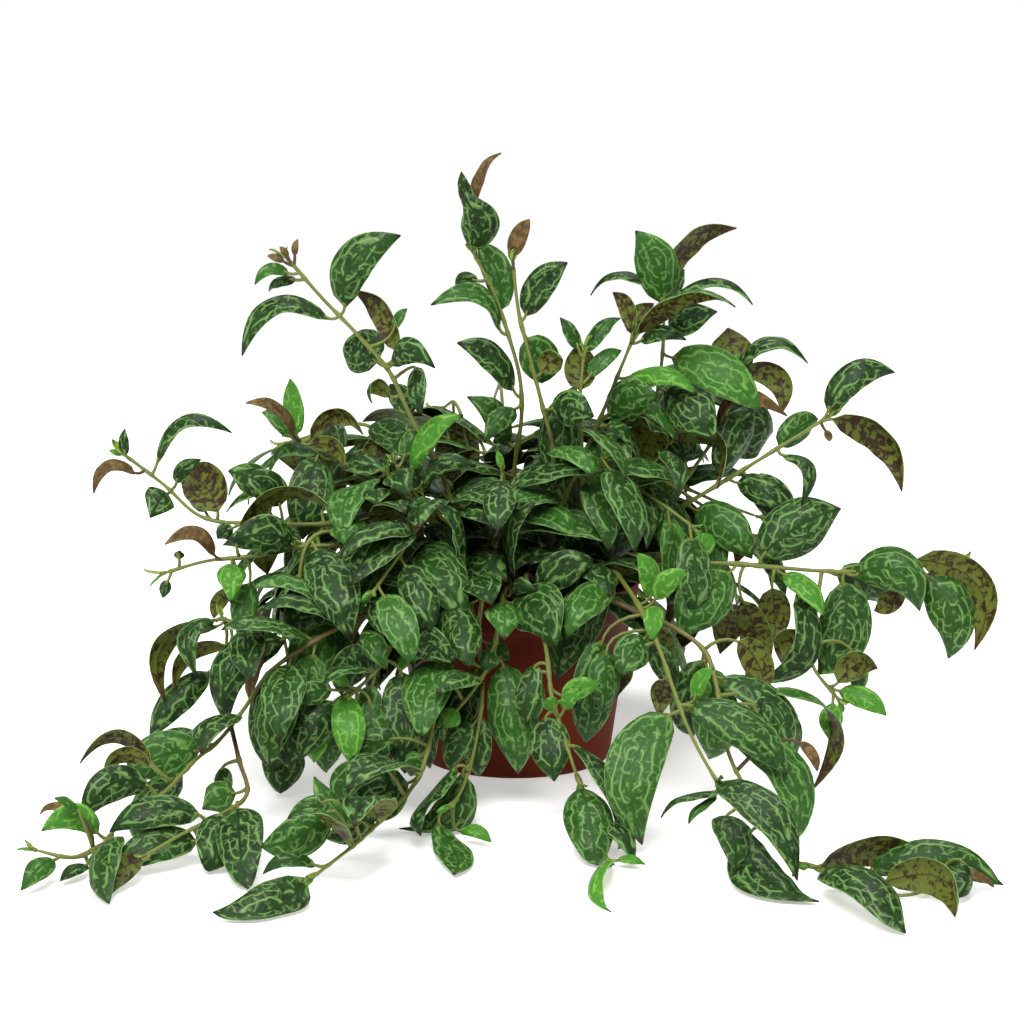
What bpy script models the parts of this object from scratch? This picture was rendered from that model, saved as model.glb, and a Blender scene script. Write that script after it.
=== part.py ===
"""Potted lipstick plant: a tapered nursery pot full of soil, with leafy stems that rise, arch and trail.

Metres, +Z up. The origin is the centre of the pot's underside, the front faces -Y and +X is the
viewer's right. Stems and leaves in front are set out on a front drawing: a sheet 1024 units wide that
is seen from one point before the plant. A sheet point has `across` and `down` in sheet units, and `near`,
its distance in millimetres before the pot's axis. Stems and leaves behind and inside grow by a seeded rule.
"""

import math
import random
from collections import namedtuple

import bpy
import bmesh
from mathutils import Matrix, Vector
from mathutils.bvhtree import BVHTree

MM = 0.001

# Pot
POT_HEIGHT = 0.116
POT_BASE_RADIUS = 0.060
POT_MOUTH_RADIUS = 0.0765
POT_WALL = 0.0022
POT_FLOOR = 0.0028
RIM_BAND_HEIGHT = 0.020
RIM_BAND_STEP = 0.0022
POT_SIDES = 36
DRAIN_HOLES = 6
DRAIN_HOLE_RADIUS = 0.0045
DRAIN_RING_RADIUS = 0.043

# Soil
SOIL_GAP = 0.0003
SOIL_TOP = 0.103
SOIL_DOME = 0.004
SOIL_SIDES = 24
STEM_HOLE_DEPTH = 0.020
STEM_HOLE_RADIUS = 0.0036
STEM_SUNK = 0.0194
FOOT_RISE = 0.007
ROOT_RING_RADIUS = 0.063

# Stems
STEM_ROOT_RADIUS = 0.0021
STEM_END_RADIUS = 0.0011
STEM_SIDES = 4
STEM_STEP = 0.029
FINE_STEPS = 12
CLEAR = 0.0006

# Leaves
LEAF_THICK = 0.0013
PETIOLE_FLAT = 0.6
PETIOLE_RADIUS = 0.0012
LEAF_FOLD = 0.07
LEAF_ASPECT = 0.46
ARCH_UP = 0.6
UP_GAIN = 2.2
UP_LEAST = 0.001
SEEN_BEND = 0.2
ARCH_GAIN = 1.3
SEEN_GAIN = 1.1
BLADE_SHIFT = 0.88
BLADE_FULLNESS = 0.52
BLADE_POINT = 0.38
DRAWN_ROWS = (0.0, 0.2, 0.48, 0.78)
GROWN_ROWS = (0.0, 0.42)
LOWEST = 0.0022
LIFT_SOFTNESS = 0.004

# Front drawing
EYE = Vector((-0.002, -1.9225, 0.551))
EYE_PITCH = math.radians(11.6)
SHEET_CENTRE = 512
SHEET_DISTANCE = 3129
EYE_RIGHT = Vector((1, 0, 0))
EYE_UP = Vector((0, math.sin(EYE_PITCH), math.cos(EYE_PITCH)))
EYE_AHEAD = Vector((0, math.cos(EYE_PITCH), -math.sin(EYE_PITCH)))

Leaf = namedtuple("Leaf", "kind root base tip face width rise rows")
Stem = namedtuple("Stem", "name lines leaves")

# Each entry: name, routes (the first is the stem, the others are its twigs), leaves.
# A route point is across, down, near. A leaf is kind, base across and down, tip across and down,
# seen width, how many millimetres nearer the tip is than the base, and how far the blade arches.
DRAWN_STEMS = [
    (
        "crown_left_stem",
        [[(512, 520, 6), (518, 436, 14), (524, 397, 20), (518, 371, 24), (508, 334, 26),
          (490, 283, 28), (473, 252, 30)]],
        [
            ("dead", 474, 206, 497, 151, 11, -5, 0.06),
            ("top", 470, 212, 459, 173, 13, 0, 0.06),
            ("top", 479, 254, 462, 198, 38, 22, 0.20),
            ("top", 517, 316, 473, 250, 30, 20, 0.20),
            ("top", 507, 337, 435, 301, 17, 18, 0.32),
            ("top", 490, 281, 455, 289, 12, -12, 0.30),
            ("top", 515, 397, 460, 342, 26, 22, 0.16),
            ("top", 522, 401, 487, 436, 22, 32, 0.14),
            ("top", 508, 446, 476, 400, 26, 25, 0.12),
        ],
    ),
    (
        "crown_middle_stem",
        [[(540, 530, 20), (555, 470, 28), (545, 420, 34), (538, 383, 36), (531, 361, 37),
          (519, 314, 36), (513, 263, 36)]],
        [
            ("dead", 513, 256, 529, 220, 18, 0, 0.08),
            ("top", 526, 316, 566, 263, 28, 10, 0.12),
            ("top", 517, 330, 543, 387, 38, -14, 0.10),
            ("under", 532, 375, 566, 358, 24, 14, 0.18),
            ("top", 530, 414, 590, 416, 35, 26, 0.12),
            ("top", 505, 513, 603, 561, 34, 34, 0.16),
            ("top", 580, 505, 548, 468, 30, 22, 0.14),
        ],
    ),
    (
        "crown_short_stem",
        [[(583, 515, 34), (582, 448, 40), (580, 399, 40), (584, 350, 36)]],
        [
            ("under", 580, 397, 580, 343, 31, -10, 0.10),
            ("top", 582, 352, 562, 317, 13, -6, 0.06),
            ("top", 585, 352, 617, 314, 14, -8, 0.08),
            ("top", 584, 386, 621, 350, 15, -10, 0.12),
            ("top", 612, 560, 610, 487, 54, -14, 0.12),
        ],
    ),
    (
        "crown_arching_stem",
        [[(578, 500, 2), (587, 448, 8), (597, 426, 12), (618, 375, 16), (634, 336, 18)]],
        [
            ("under", 634, 334, 652, 306, 20, -20, 0.12),
            ("under", 632, 334, 615, 293, 17, -20, 0.12),
            ("under", 638, 334, 734, 296, 14, 34, 0.16),
            ("top", 636, 344, 682, 336, 15, 16, 0.16),
            ("young", 620, 378, 694, 384, 18, 22, 0.14),
            ("top", 600, 426, 676, 438, 15, 16, 0.36),
            ("top", 604, 420, 656, 396, 38, 26, 0.12),
            ("top", 596, 436, 628, 470, 34, 34, 0.14),
        ],
    ),
    (
        "crown_right_stem",
        [[(620, 505, -8), (646, 448, 2), (657, 395, 8), (662, 361, 10), (664, 303, 12)]],
        [
            ("top", 661, 303, 637, 235, 42, 16, 0.10),
            ("under", 665, 283, 729, 224, 20, -22, 0.14),
            ("top", 664, 302, 684, 265, 20, -10, 0.10),
            ("top", 650, 286, 590, 288, 8, -5, 0.22),
            ("top", 676, 296, 753, 297, 7, 0, 0.22),
            ("top", 661, 335, 712, 314, 30, 22, 0.12),
            ("young", 667, 355, 759, 407, 42, 26, 0.14),
            ("top", 660, 382, 711, 437, 48, 38, 0.14),
            ("under", 662, 440, 726, 480, 18, 14, 0.36),
        ],
    ),
    (
        "upper_left_stem",
        [[(455, 520, 36), (431, 451, 46), (416, 427, 48), (394, 380, 48), (382, 361, 48),
          (341, 318, 48), (302, 276, 46), (288, 259, 46)]],
        [
            ("dead", 290, 263, 297, 240, 6, 0, 0.08),
            ("dead", 289, 262, 280, 247, 6, 0, 0.08),
            ("dead", 288, 262, 268, 256, 7, 0, 0.10),
            ("top", 299, 273, 255, 282, 11, 5, 0.28),
            ("top", 300, 277, 266, 288, 9, -14, 0.12),
            ("top", 335, 321, 241, 352, 18, 14, 0.34),
            ("top", 343, 312, 399, 236, 38, 10, 0.26),
            ("top", 382, 363, 338, 344, 46, -34, 0.12),
            ("under", 397, 351, 361, 288, 21, -12, 0.10),
            ("top", 395, 328, 406, 309, 9, 0, 0.10),
            ("top", 384, 363, 432, 368, 26, 24, 0.34),
            ("top", 416, 367, 418, 413, 18, 18, 0.14),
            ("top", 412, 426, 389, 383, 22, -14, 0.12),
            ("under", 390, 397, 366, 399, 13, 24, 0.30),
        ],
    ),
    (
        "left_brown_stem",
        [[(420, 530, 10), (372, 485, 18), (330, 455, 24), (294, 437, 26)]],
        [
            ("young", 296, 435, 289, 379, 20, -8, 0.10),
            ("dead", 294, 437, 252, 400, 12, 0, 0.12),
            ("top", 290, 437, 262, 407, 18, -20, 0.14),
            ("under", 298, 435, 364, 431, 15, 10, 0.38),
            ("under", 294, 443, 345, 468, 15, 15, 0.30),
            ("under", 363, 502, 384, 437, 27, -16, 0.12),
            ("top", 317, 457, 303, 538, 38, 20, 0.12),
            ("top", 360, 506, 404, 557, 30, 34, 0.26),
            ("top", 340, 462, 322, 420, 30, -22, 0.12),
            ("top", 338, 458, 264, 470, 15, 10, 0.30),
        ],
    ),
    (
        "inner_left_stem",
        [[(470, 545, 26), (430, 510, 40), (404, 480, 46), (394, 462, 48)]],
        [
            ("young", 404, 480, 456, 414, 15, -8, 0.14),
            ("top", 394, 500, 472, 464, 17, 12, 0.26),
            ("top", 441, 520, 516, 503, 24, 20, 0.34),
            ("top", 396, 464, 425, 428, 20, -12, 0.14),
        ],
    ),
    (
        "left_long_stem",
        [[(430, 545, 22), (377, 527, 38), (283, 524, 48), (220, 521, 47), (191, 512, 44),
          (166, 487, 42), (150, 470, 42), (125, 455, 42)]],
        [
            ("top", 157, 464, 230, 429, 11, -8, 0.34),
            ("dead", 145, 473, 93, 490, 12, 10, 0.34),
            ("top", 125, 455, 123, 430, 9, 0, 0.10),
            ("top", 186, 468, 153, 514, 30, 34, 0.16),
            ("under", 218, 512, 180, 472, 42, -26, 0.12),
            ("top", 207, 516, 189, 486, 19, -20, 0.12),
            ("top", 172, 487, 198, 461, 14, 5, 0.16),
            ("top", 268, 494, 230, 472, 30, 10, 0.12),
            ("top", 280, 506, 246, 476, 32, 8, 0.14),
            ("top", 284, 502, 248, 520, 22, 10, 0.12),
            ("top", 240, 518, 218, 538, 16, 6, 0.12),
        ],
    ),
    (
        "left_middle_stem",
        [[(460, 585, 50), (400, 554, 64), (315, 546, 70), (232, 560, 68), (207, 561, 66),
          (178, 573, 64), (164, 573, 64)]],
        [
            ("dead", 223, 558, 167, 541, 15, 5, 0.34),
            ("under", 238, 534, 333, 502, 13, 0, 0.26),
            ("top", 300, 548, 234, 541, 38, 28, 0.16),
            ("top", 404, 550, 462, 610, 58, 34, 0.14),
            ("young", 235, 562, 231, 594, 28, 36, 0.14),
            ("top", 180, 572, 180, 551, 9, 0, 0.10),
            ("top", 166, 573, 163, 597, 10, 8, 0.12),
            ("top", 250, 583, 240, 635, 26, 26, 0.14),
            ("top", 376, 588, 298, 590, 34, 20, 0.24),
            ("under", 232, 590, 214, 618, 14, 4, 0.14),
        ],
    ),
    (
        "left_front_stem",
        [[(440, 600, 66), (360, 612, 94), (290, 622, 104), (240, 622, 102), (222, 618, 100)]],
        [
            ("under", 222, 617, 157, 694, 17, 10, 0.32),
            ("top", 215, 620, 193, 669, 20, 28, 0.32),
            ("under", 226, 646, 171, 686, 15, 10, 0.25),
            ("top", 210, 672, 148, 737, 30, 20, 0.14),
            ("top", 286, 640, 224, 721, 38, 20, 0.30),
            ("top", 350, 642, 296, 682, 56, 40, 0.20),
            ("top", 340, 600, 284, 630, 40, 20, 0.14),
            ("top", 290, 668, 274, 772, 56, 18, 0.12),
            ("top", 290, 735, 282, 813, 44, -8, 0.12),
            ("top", 238, 720, 239, 784, 32, 30, 0.12),
            ("dead", 262, 660, 246, 692, 15, 0, 0.12),
        ],
    ),
    (
        "floor_left_stem",
        [
            [(425, 590, 78), (380, 608, 106), (300, 650, 128), (263, 679, 138), (233, 726, 158),
              (192, 763, 184), (153, 802, 212), (106, 832, 236), (98, 850, 244)],
            [(233, 726, 158), (240, 765, 176), (245, 800, 200), (203, 822, 226), (143, 857, 256)],
            [(98, 850, 244), (80, 857, 252), (35, 850, 256)],
        ],
        [
            ("top", 208, 742, 125, 776, 44, 10, 0.14),
            ("top", 212, 740, 155, 741, 16, -10, 0.14),
            ("under", 151, 762, 80, 760, 13, 8, 0.36),
            ("under", 150, 765, 102, 772, 13, 14, 0.30),
            ("top", 150, 787, 84, 821, 34, 24, 0.30),
            ("young", 98, 834, 44, 831, 25, 10, 0.34),
            ("top", 80, 815, 57, 797, 9, 0, 0.10),
            ("dead", 75, 812, 39, 811, 6, 0, 0.10),
            ("top", 112, 838, 101, 905, 30, 55, 0.14),
            ("top", 61, 853, 25, 886, 22, 32, 0.14),
            ("top", 88, 866, 61, 882, 12, 20, 0.14),
            ("under", 143, 861, 102, 904, 30, 42, 0.20),
            ("top", 197, 842, 114, 868, 34, 26, 0.14),
            ("top", 200, 815, 110, 828, 30, 14, 0.16),
            ("top", 236, 812, 211, 874, 44, 42, 0.14),
            ("top", 222, 767, 224, 802, 17, 20, 0.12),
            ("top", 254, 824, 251, 897, 34, 72, 0.14),
            ("top", 276, 784, 205, 808, 32, 14, 0.14),
        ],
    ),
    (
        "floor_front_stem",
        [[(455, 588, 76), (440, 640, 112), (436, 700, 140), (421, 772, 180), (372, 829, 240),
          (313, 877, 306)]],
        [
            ("top", 313, 878, 214, 912, 54, 28, -0.20),
            ("top", 326, 866, 264, 868, 13, 6, 0.16),
            ("top", 368, 827, 318, 774, 22, -6, -0.20),
            ("top", 372, 812, 326, 838, 26, 8, -0.10),
            ("top", 420, 778, 352, 820, 50, 10, 0.12),
            ("under", 424, 792, 368, 841, 22, 4, -0.20),
            ("top", 326, 812, 262, 846, 40, 16, -0.12),
            ("top", 326, 800, 291, 832, 24, 6, 0.12),
            ("top", 396, 738, 348, 763, 30, -4, 0.12),
            ("top", 362, 764, 338, 802, 28, -4, 0.12),
            ("top", 408, 738, 410, 778, 22, -4, 0.12),
        ],
    ),
    (
        "front_left_fall_stem",
        [[(482, 586, 52), (446, 594, 84), (412, 614, 108), (395, 640, 120), (382, 664, 128),
          (352, 694, 140)]],
        [
            ("top", 402, 672, 405, 772, 44, 28, 0.12),
            ("young", 345, 695, 351, 762, 31, 22, 0.12),
            ("top", 332, 690, 296, 703, 22, 10, 0.14),
            ("young", 352, 694, 329, 677, 11, 4, 0.12),
            ("top", 395, 632, 453, 662, 32, 28, 0.16),
            ("top", 362, 632, 384, 665, 23, 24, 0.12),
            ("top", 368, 600, 391, 637, 25, 20, 0.12),
            ("top", 336, 702, 300, 760, 34, 16, 0.14),
            ("top", 372, 652, 340, 696, 34, -12, 0.14),
            ("top", 370, 700, 372, 775, 34, 10, 0.12),
            ("young", 322, 718, 314, 762, 22, 8, 0.12),
            ("top", 344, 728, 325, 776, 26, -6, 0.12),
        ],
    ),
    (
        "front_fall_stem",
        [[(505, 590, 62), (498, 630, 96), (488, 668, 118), (463, 701, 132), (451, 716, 138)]],
        [
            ("young", 482, 665, 396, 671, 20, 10, 0.36),
            ("top", 503, 663, 518, 773, 48, 22, 0.12),
            ("young", 463, 701, 445, 728, 20, 12, 0.12),
            ("top", 440, 682, 407, 767, 27, 16, 0.14),
            ("top", 480, 592, 549, 643, 54, 42, 0.24),
            ("top", 470, 582, 532, 590, 16, 24, 0.20),
            ("top", 512, 640, 486, 672, 20, 10, 0.12),
        ],
    ),
    (
        "front_middle_fall_stem",
        [[(482, 600, 80), (480, 650, 100), (482, 699, 126), (470, 768, 166), (452, 806, 190)]],
        [
            ("top", 474, 768, 402, 833, 40, 20, -0.30),
            ("top", 456, 766, 412, 823, 28, 24, -0.12),
            ("young", 460, 832, 490, 842, 12, 10, 0.20),
            ("top", 438, 822, 456, 876, 30, 50, -0.14),
            ("top", 477, 716, 450, 770, 28, 8, 0.14),
            ("top", 480, 706, 478, 778, 26, 0, 0.12),
            ("top", 484, 636, 508, 660, 16, 14, 0.14),
        ],
    ),
    (
        "front_right_fall_stem",
        [
            [(526, 575, 70), (538, 615, 96), (546, 648, 114), (553, 703, 138), (561, 728, 150),
              (579, 782, 178)],
            [(579, 782, 178), (598, 828, 208), (608, 864, 236)],
        ],
        [
            ("young", 555, 700, 599, 686, 20, 5, 0.16),
            ("young", 556, 722, 546, 700, 14, 8, 0.10),
            ("young", 560, 718, 580, 690, 13, 5, 0.10),
            ("top", 545, 717, 553, 779, 38, 20, 0.12),
            ("top", 580, 780, 597, 868, 48, 48, 0.12),
            ("top", 576, 746, 634, 852, 36, 34, 0.16),
            ("young", 610, 864, 644, 865, 9, 6, 0.14),
            ("young", 608, 866, 589, 911, 10, 22, 0.10),
            ("top", 606, 812, 630, 860, 20, 34, 0.14),
            ("top", 536, 664, 524, 722, 22, 14, 0.12),
            ("top", 545, 598, 568, 628, 22, 20, 0.14),
            ("top", 540, 590, 592, 560, 34, 4, 0.14),
            ("top", 534, 676, 534, 720, 20, 4, 0.12),
            ("top", 556, 690, 578, 710, 12, 2, 0.12),
        ],
    ),
    (
        "right_fall_stem",
        [[(587, 562, 44), (622, 582, 84), (651, 629, 126), (677, 699, 174), (691, 735, 204),
          (716, 780, 246)]],
        [
            ("top", 600, 568, 556, 676, 58, 30, 0.14),
            ("top", 648, 632, 621, 674, 36, 26, 0.14),
            ("young", 650, 598, 639, 556, 21, 12, 0.12),
            ("young", 655, 600, 686, 572, 20, 10, 0.12),
            ("young", 655, 606, 652, 638, 19, 22, 0.12),
            ("top", 602, 640, 588, 744, 40, 8, 0.14),
            ("top", 606, 650, 604, 712, 32, -8, 0.12),
            ("top", 646, 640, 674, 694, 26, 4, 0.12),
            ("under", 690, 594, 667, 668, 26, -10, 0.12),
            ("under", 682, 664, 660, 712, 22, -14, 0.12),
            ("under", 628, 656, 620, 692, 20, -16, 0.12),
            ("top", 671, 714, 640, 838, 54, 38, 0.20),
            ("top", 687, 705, 789, 771, 40, 20, 0.14),
            ("top", 716, 776, 800, 862, 38, 62, 0.12),
            ("young", 696, 698, 712, 669, 15, 6, 0.12),
            ("top", 718, 792, 660, 806, 6, 10, 0.05),
            ("top", 716, 796, 687, 819, 7, 14, 0.05),
        ],
    ),
    (
        "floor_right_stem",
        [
            [(560, 575, 60), (610, 600, 84), (702, 648, 118), (718, 692, 140), (724, 737, 162),
              (740, 778, 205), (768, 822, 240), (795, 866, 285)],
            [(795, 866, 285), (850, 877, 262), (904, 896, 286), (938, 887, 280)],
        ],
        [
            ("top", 750, 832, 817, 904, 46, 40, -0.20),
            ("top", 726, 816, 737, 867, 33, 42, 0.14),
            ("top", 716, 668, 790, 771, 30, 18, 0.26),
            ("top", 734, 737, 798, 841, 38, 30, 0.24),
            ("top", 768, 692, 820, 780, 17, 2, 0.30),
            ("dead", 800, 742, 818, 770, 11, 6, 0.14),
            ("top", 718, 652, 712, 766, 44, -10, 0.12),
            ("top", 702, 650, 694, 740, 38, -16, 0.12),
            ("under", 738, 641, 764, 692, 28, 4, 0.14),
            ("top", 712, 672, 690, 700, 18, 4, -0.14),
            ("top", 752, 704, 796, 766, 24, -24, 0.16),
            ("top", 812, 868, 905, 934, 38, 46, 0.17),
            ("under", 812, 860, 934, 868, 26, -14, 0.14),
            ("top", 868, 872, 1000, 902, 13, -8, 0.20),
            ("under", 885, 882, 958, 918, 33, 10, 0.28),
            ("top", 938, 886, 953, 903, 19, 6, 0.36),
            ("top", 962, 860, 953, 902, 15, 10, -0.2),
            ("dead", 950, 878, 995, 888, 8, -4, 0.14),
        ],
    ),
    (
        "right_long_stem",
        [
            [(575, 585, 26), (638, 568, 46), (710, 563, 56), (824, 571, 62), (871, 571, 60),
              (914, 564, 58), (946, 563, 57), (960, 561, 57)],
            [(824, 571, 62), (815, 620, 76), (812, 665, 84), (822, 682, 88), (838, 699, 92)],
        ],
        [
            ("young", 684, 560, 656, 520, 26, -8, 0.12),
            ("young", 690, 560, 714, 536, 20, -8, 0.12),
            ("top", 739, 562, 683, 636, 52, 28, 0.12),
            ("top", 762, 556, 842, 508, 54, -10, 0.10),
            ("young", 772, 571, 825, 613, 20, 20, 0.14),
            ("top", 842, 567, 818, 674, 50, 16, -0.14),
            ("top", 843, 565, 918, 610, 44, 16, 0.38),
            ("under", 917, 559, 980, 648, 30, 14, 0.33),
            ("young", 924, 567, 948, 658, 45, 16, 0.20),
            ("top", 830, 575, 888, 607, 34, -20, 0.14),
            ("under", 772, 588, 775, 642, 30, -4, 0.12),
            ("top", 796, 594, 768, 685, 26, 16, -0.28),
            ("under", 816, 630, 782, 662, 36, -4, 0.12),
            ("top", 850, 648, 858, 696, 20, -10, 0.12),
            ("under", 902, 588, 874, 611, 20, 4, -0.12),
            ("top", 700, 572, 668, 606, 34, -6, 0.12),
            ("under", 826, 684, 878, 668, 28, 12, 0.26),
            ("young", 828, 684, 886, 714, 20, 14, 0.14),
            ("young", 838, 697, 830, 738, 22, 16, 0.14),
            ("under", 742, 600, 752, 690, 30, -12, 0.14),
        ],
    ),
    (
        "right_rising_stem",
        [[(640, 535, 12), (683, 506, 22), (728, 479, 27), (770, 453, 30), (828, 417, 30)]],
        [
            ("top", 828, 412, 893, 368, 28, -5, 0.22),
            ("under", 832, 419, 906, 486, 27, 10, 0.22),
            ("dead", 824, 420, 830, 441, 7, 0, 0.10),
            ("top", 832, 415, 848, 400, 6, 0, 0.10),
            ("top", 770, 452, 822, 418, 26, -10, 0.14),
            ("top", 781, 446, 806, 498, 14, 26, 0.34),
            ("top", 728, 481, 781, 507, 28, 22, 0.14),
            ("top", 692, 505, 750, 557, 40, 26, 0.14),
            ("top", 742, 470, 790, 530, 34, 12, 0.14),
        ],
    ),
    (
        "right_inner_stem",
        [[(630, 535, -14), (662, 508, -6), (690, 470, 2), (714, 441, 8), (731, 400, 10),
          (736, 372, 11)]],
        [
            ("top", 718, 448, 779, 430, 56, -28, 0.16),
            ("dead", 712, 441, 782, 410, 12, 5, 0.36),
            ("top", 738, 368, 806, 353, 13, 0, 0.26),
            ("under", 742, 372, 783, 413, 24, 10, 0.38),
            ("under", 734, 395, 728, 332, 40, -26, 0.14),
            ("top", 664, 506, 648, 450, 40, 20, 0.14),
            ("top", 690, 470, 668, 420, 30, -16, 0.14),
        ],
    ),
]

# Stems that grow by rule, as groups: name, how many, first and last compass angle from the viewer's right,
# reach outward, rise above the soil and height of the end, all in metres.
GROWN_STEMS = [
    ("back_crown_stem", 4, 35, 150, 0.10, 0.15, 0.17),
    ("back_arching_stem", 5, 40, 140, 0.17, 0.10, 0.11),
    ("back_trailing_stem", 6, 28, 152, 0.17, 0.055, 0.03),
    ("inner_stem", 7, 0, 308, 0.085, 0.12, 0.18),
    ("left_side_stem", 6, 165, 235, 0.15, 0.06, 0.07),
    ("right_side_stem", 3, -35, 12, 0.15, 0.07, 0.09),
]
# Stretches of the front drawing full of leaves: the middle's across and down, half width and half height
DENSE = [(440, 530, 190, 110), (270, 600, 90, 150), (640, 480, 110, 90), (360, 740, 90, 90)]
# Outline of the plant's mass in the front drawing, which grown leaves stay inside
OUTLINE = [
    (220, 530), (228, 465), (260, 440), (300, 420), (360, 400), (400, 420), (455, 430), (530, 435),
    (560, 390), (600, 410), (640, 350), (700, 320), (740, 350), (770, 400), (735, 440), (700, 490),
    (745, 530), (790, 560), (820, 600), (810, 660), (790, 720), (740, 720), (690, 720), (640, 690),
    (606, 700), (596, 768), (486, 772), (440, 830), (330, 850), (230, 880), (130, 860), (90, 830),
    (170, 750), (215, 690), (215, 640), (210, 590),
]
# The stretch where the pot shows between the leaves: from and to across, and from which height down
SHOWN_POT = (480, 640, 640)
GROWN_SEED = 41
PAIR_SPACING = 0.044
PAIR_LEAN = math.radians(58)
LEAF_LENGTH = (0.052, 0.070)
SAG = 0.21
TIP_SAG = 1.2
GROWN_PETIOLE = 0.0075
GROWN_FULLER = 1.04
GROWN_ARCH = 0.14
LEAF_OUTWARD = 0.7
LEAF_APART = 0.15
FIRST_PAIR_RISE = 0.016
LAST_PAIR = 0.985
END_LEAF_SIZE = 0.8

# Grown stems: how an arc bows out of the pot and how far above the surface it ends
BOW_FOOT = 0.011
BOW_SPREAD = 0.9
BOW_END = 0.75
UPRIGHT_FROM = 0.05
FLOOR_GAP = 0.012

# Drawn leaves: how their petioles start, and how later tries for a free place shift and turn them
FOOT_CLEAR = 0.012
SPOTS_BETWEEN = 6
DEPTH_SHARE = 0.15
FIRST_NEAR = 60
BASE_NEARER = 1.5
SHORTEST_PETIOLE = 0.0045
DRAWN_PETIOLE = 0.0065
DRAWN_OUTWARD = 0.4
FULL_ROWS_FROM = 20
SLACK_TRIES = 40
SLACK_STEP = 0.9
DRIFT_FROM = 30
DRIFT_STEP = 0.35
SPIN_STEP = 0.014
LOOSE_STEP = 0.05
SHRINK_STEP = 0.01
DRAWN_TRIES = 90
GROWN_TRIES = 14
STEM_TRIES = 160
STEM_SHIFT_STEP = 0.0004
LEAF_POT_GAP = 0.0015
PROBED = (0.0, 0.3, 0.6, 0.85)


def drop_existing():
    """Start from an empty scene."""
    for thing in list(bpy.data.objects):
        bpy.data.objects.remove(thing, do_unlink=True)


def place(across, down, near):
    """Point on the sight line through a sheet point, `near` millimetres before the pot's axis.

    A line that would pass below the resting height by then stops where it reaches that height.
    """
    line = EYE_AHEAD * SHEET_DISTANCE + EYE_RIGHT * (across - SHEET_CENTRE) - EYE_UP * (down - SHEET_CENTRE)
    point = EYE + line * ((-near * MM - EYE.y) / line.y)
    if point.z < LOWEST:
        point = EYE + line * ((LOWEST - EYE.z) / line.z)
    return point


def sheet_scale(point):
    """Metres for one sheet unit at a point's distance."""
    return (point - EYE).dot(EYE_AHEAD) / SHEET_DISTANCE


def smooth_line(points, step, before=None):
    """Smooth curve through the points, cut at nearly even steps. It may go on from a point before."""
    ends = [before or points[0] * 2 - points[1]] + list(points) + [points[-1] * 2 - points[-2]]
    ways = [(b - a).normalized() for a, b in zip(ends, ends[1:])]
    runs = [(a + b).normalized() for a, b in zip(ways, ways[1:])]
    fine = []
    for a, b, run_a, run_b in zip(points, points[1:], runs, runs[1:]):
        span = (b - a).length
        for k in range(FINE_STEPS):
            t = k / FINE_STEPS
            point = a * (2 * t**3 - 3 * t**2 + 1) + b * (3 * t**2 - 2 * t**3)
            fine.append(point + run_a * (span * (t**3 - 2 * t**2 + t)) + run_b * (span * (t**3 - t**2)))
    fine.append(points[-1].copy())
    length = sum((q - p).length for p, q in zip(fine, fine[1:]))
    pieces = max(2, round(length / step))
    line, passed, wanted = [fine[0]], 0.0, length / pieces
    for p, q in zip(fine, fine[1:]):
        span = (q - p).length
        while passed + span >= wanted - 1e-9 and len(line) < pieces:
            line.append(p.lerp(q, (wanted - passed) / span))
            wanted += length / pieces
        passed += span
    line.append(fine[-1])
    return line


def pot_outer_radius(height):
    """Outer radius of the pot's wall at a height, with its rim band."""
    radius = POT_BASE_RADIUS + (POT_MOUTH_RADIUS - POT_BASE_RADIUS) * height / POT_HEIGHT
    return radius + (RIM_BAND_STEP if height > POT_HEIGHT - RIM_BAND_HEIGHT - 0.001 else 0)


def clear_of_pot(point, gap):
    """Whether a point keeps `gap` to the pot and the soil."""
    radius = math.hypot(point.x, point.y)
    if point.z > POT_HEIGHT + gap or radius > pot_outer_radius(point.z) + gap:
        return True
    inside = pot_outer_radius(point.z) - RIM_BAND_STEP - POT_WALL - gap
    return radius < inside and point.z > SOIL_TOP + SOIL_DOME + gap


def pot_and_soil():
    """Vertices and faces of the filled pot, grown by the gap that stems and leaves keep."""
    band, bed = POT_HEIGHT - RIM_BAND_HEIGHT, SOIL_TOP + SOIL_DOME * 0.6 + CLEAR
    inner = POT_MOUTH_RADIUS - POT_WALL - CLEAR
    profile = [
        (0, -CLEAR),
        (POT_BASE_RADIUS + CLEAR, -CLEAR),
        (pot_outer_radius(band - 0.002) + CLEAR, band - 0.002 - CLEAR),
        (pot_outer_radius(band) + CLEAR, band - CLEAR),
        (pot_outer_radius(POT_HEIGHT) + CLEAR, POT_HEIGHT + CLEAR),
        (inner, POT_HEIGHT + CLEAR),
        (inner, bed),
        (0, bed),
    ]
    return turned(profile, POT_SIDES)


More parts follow.
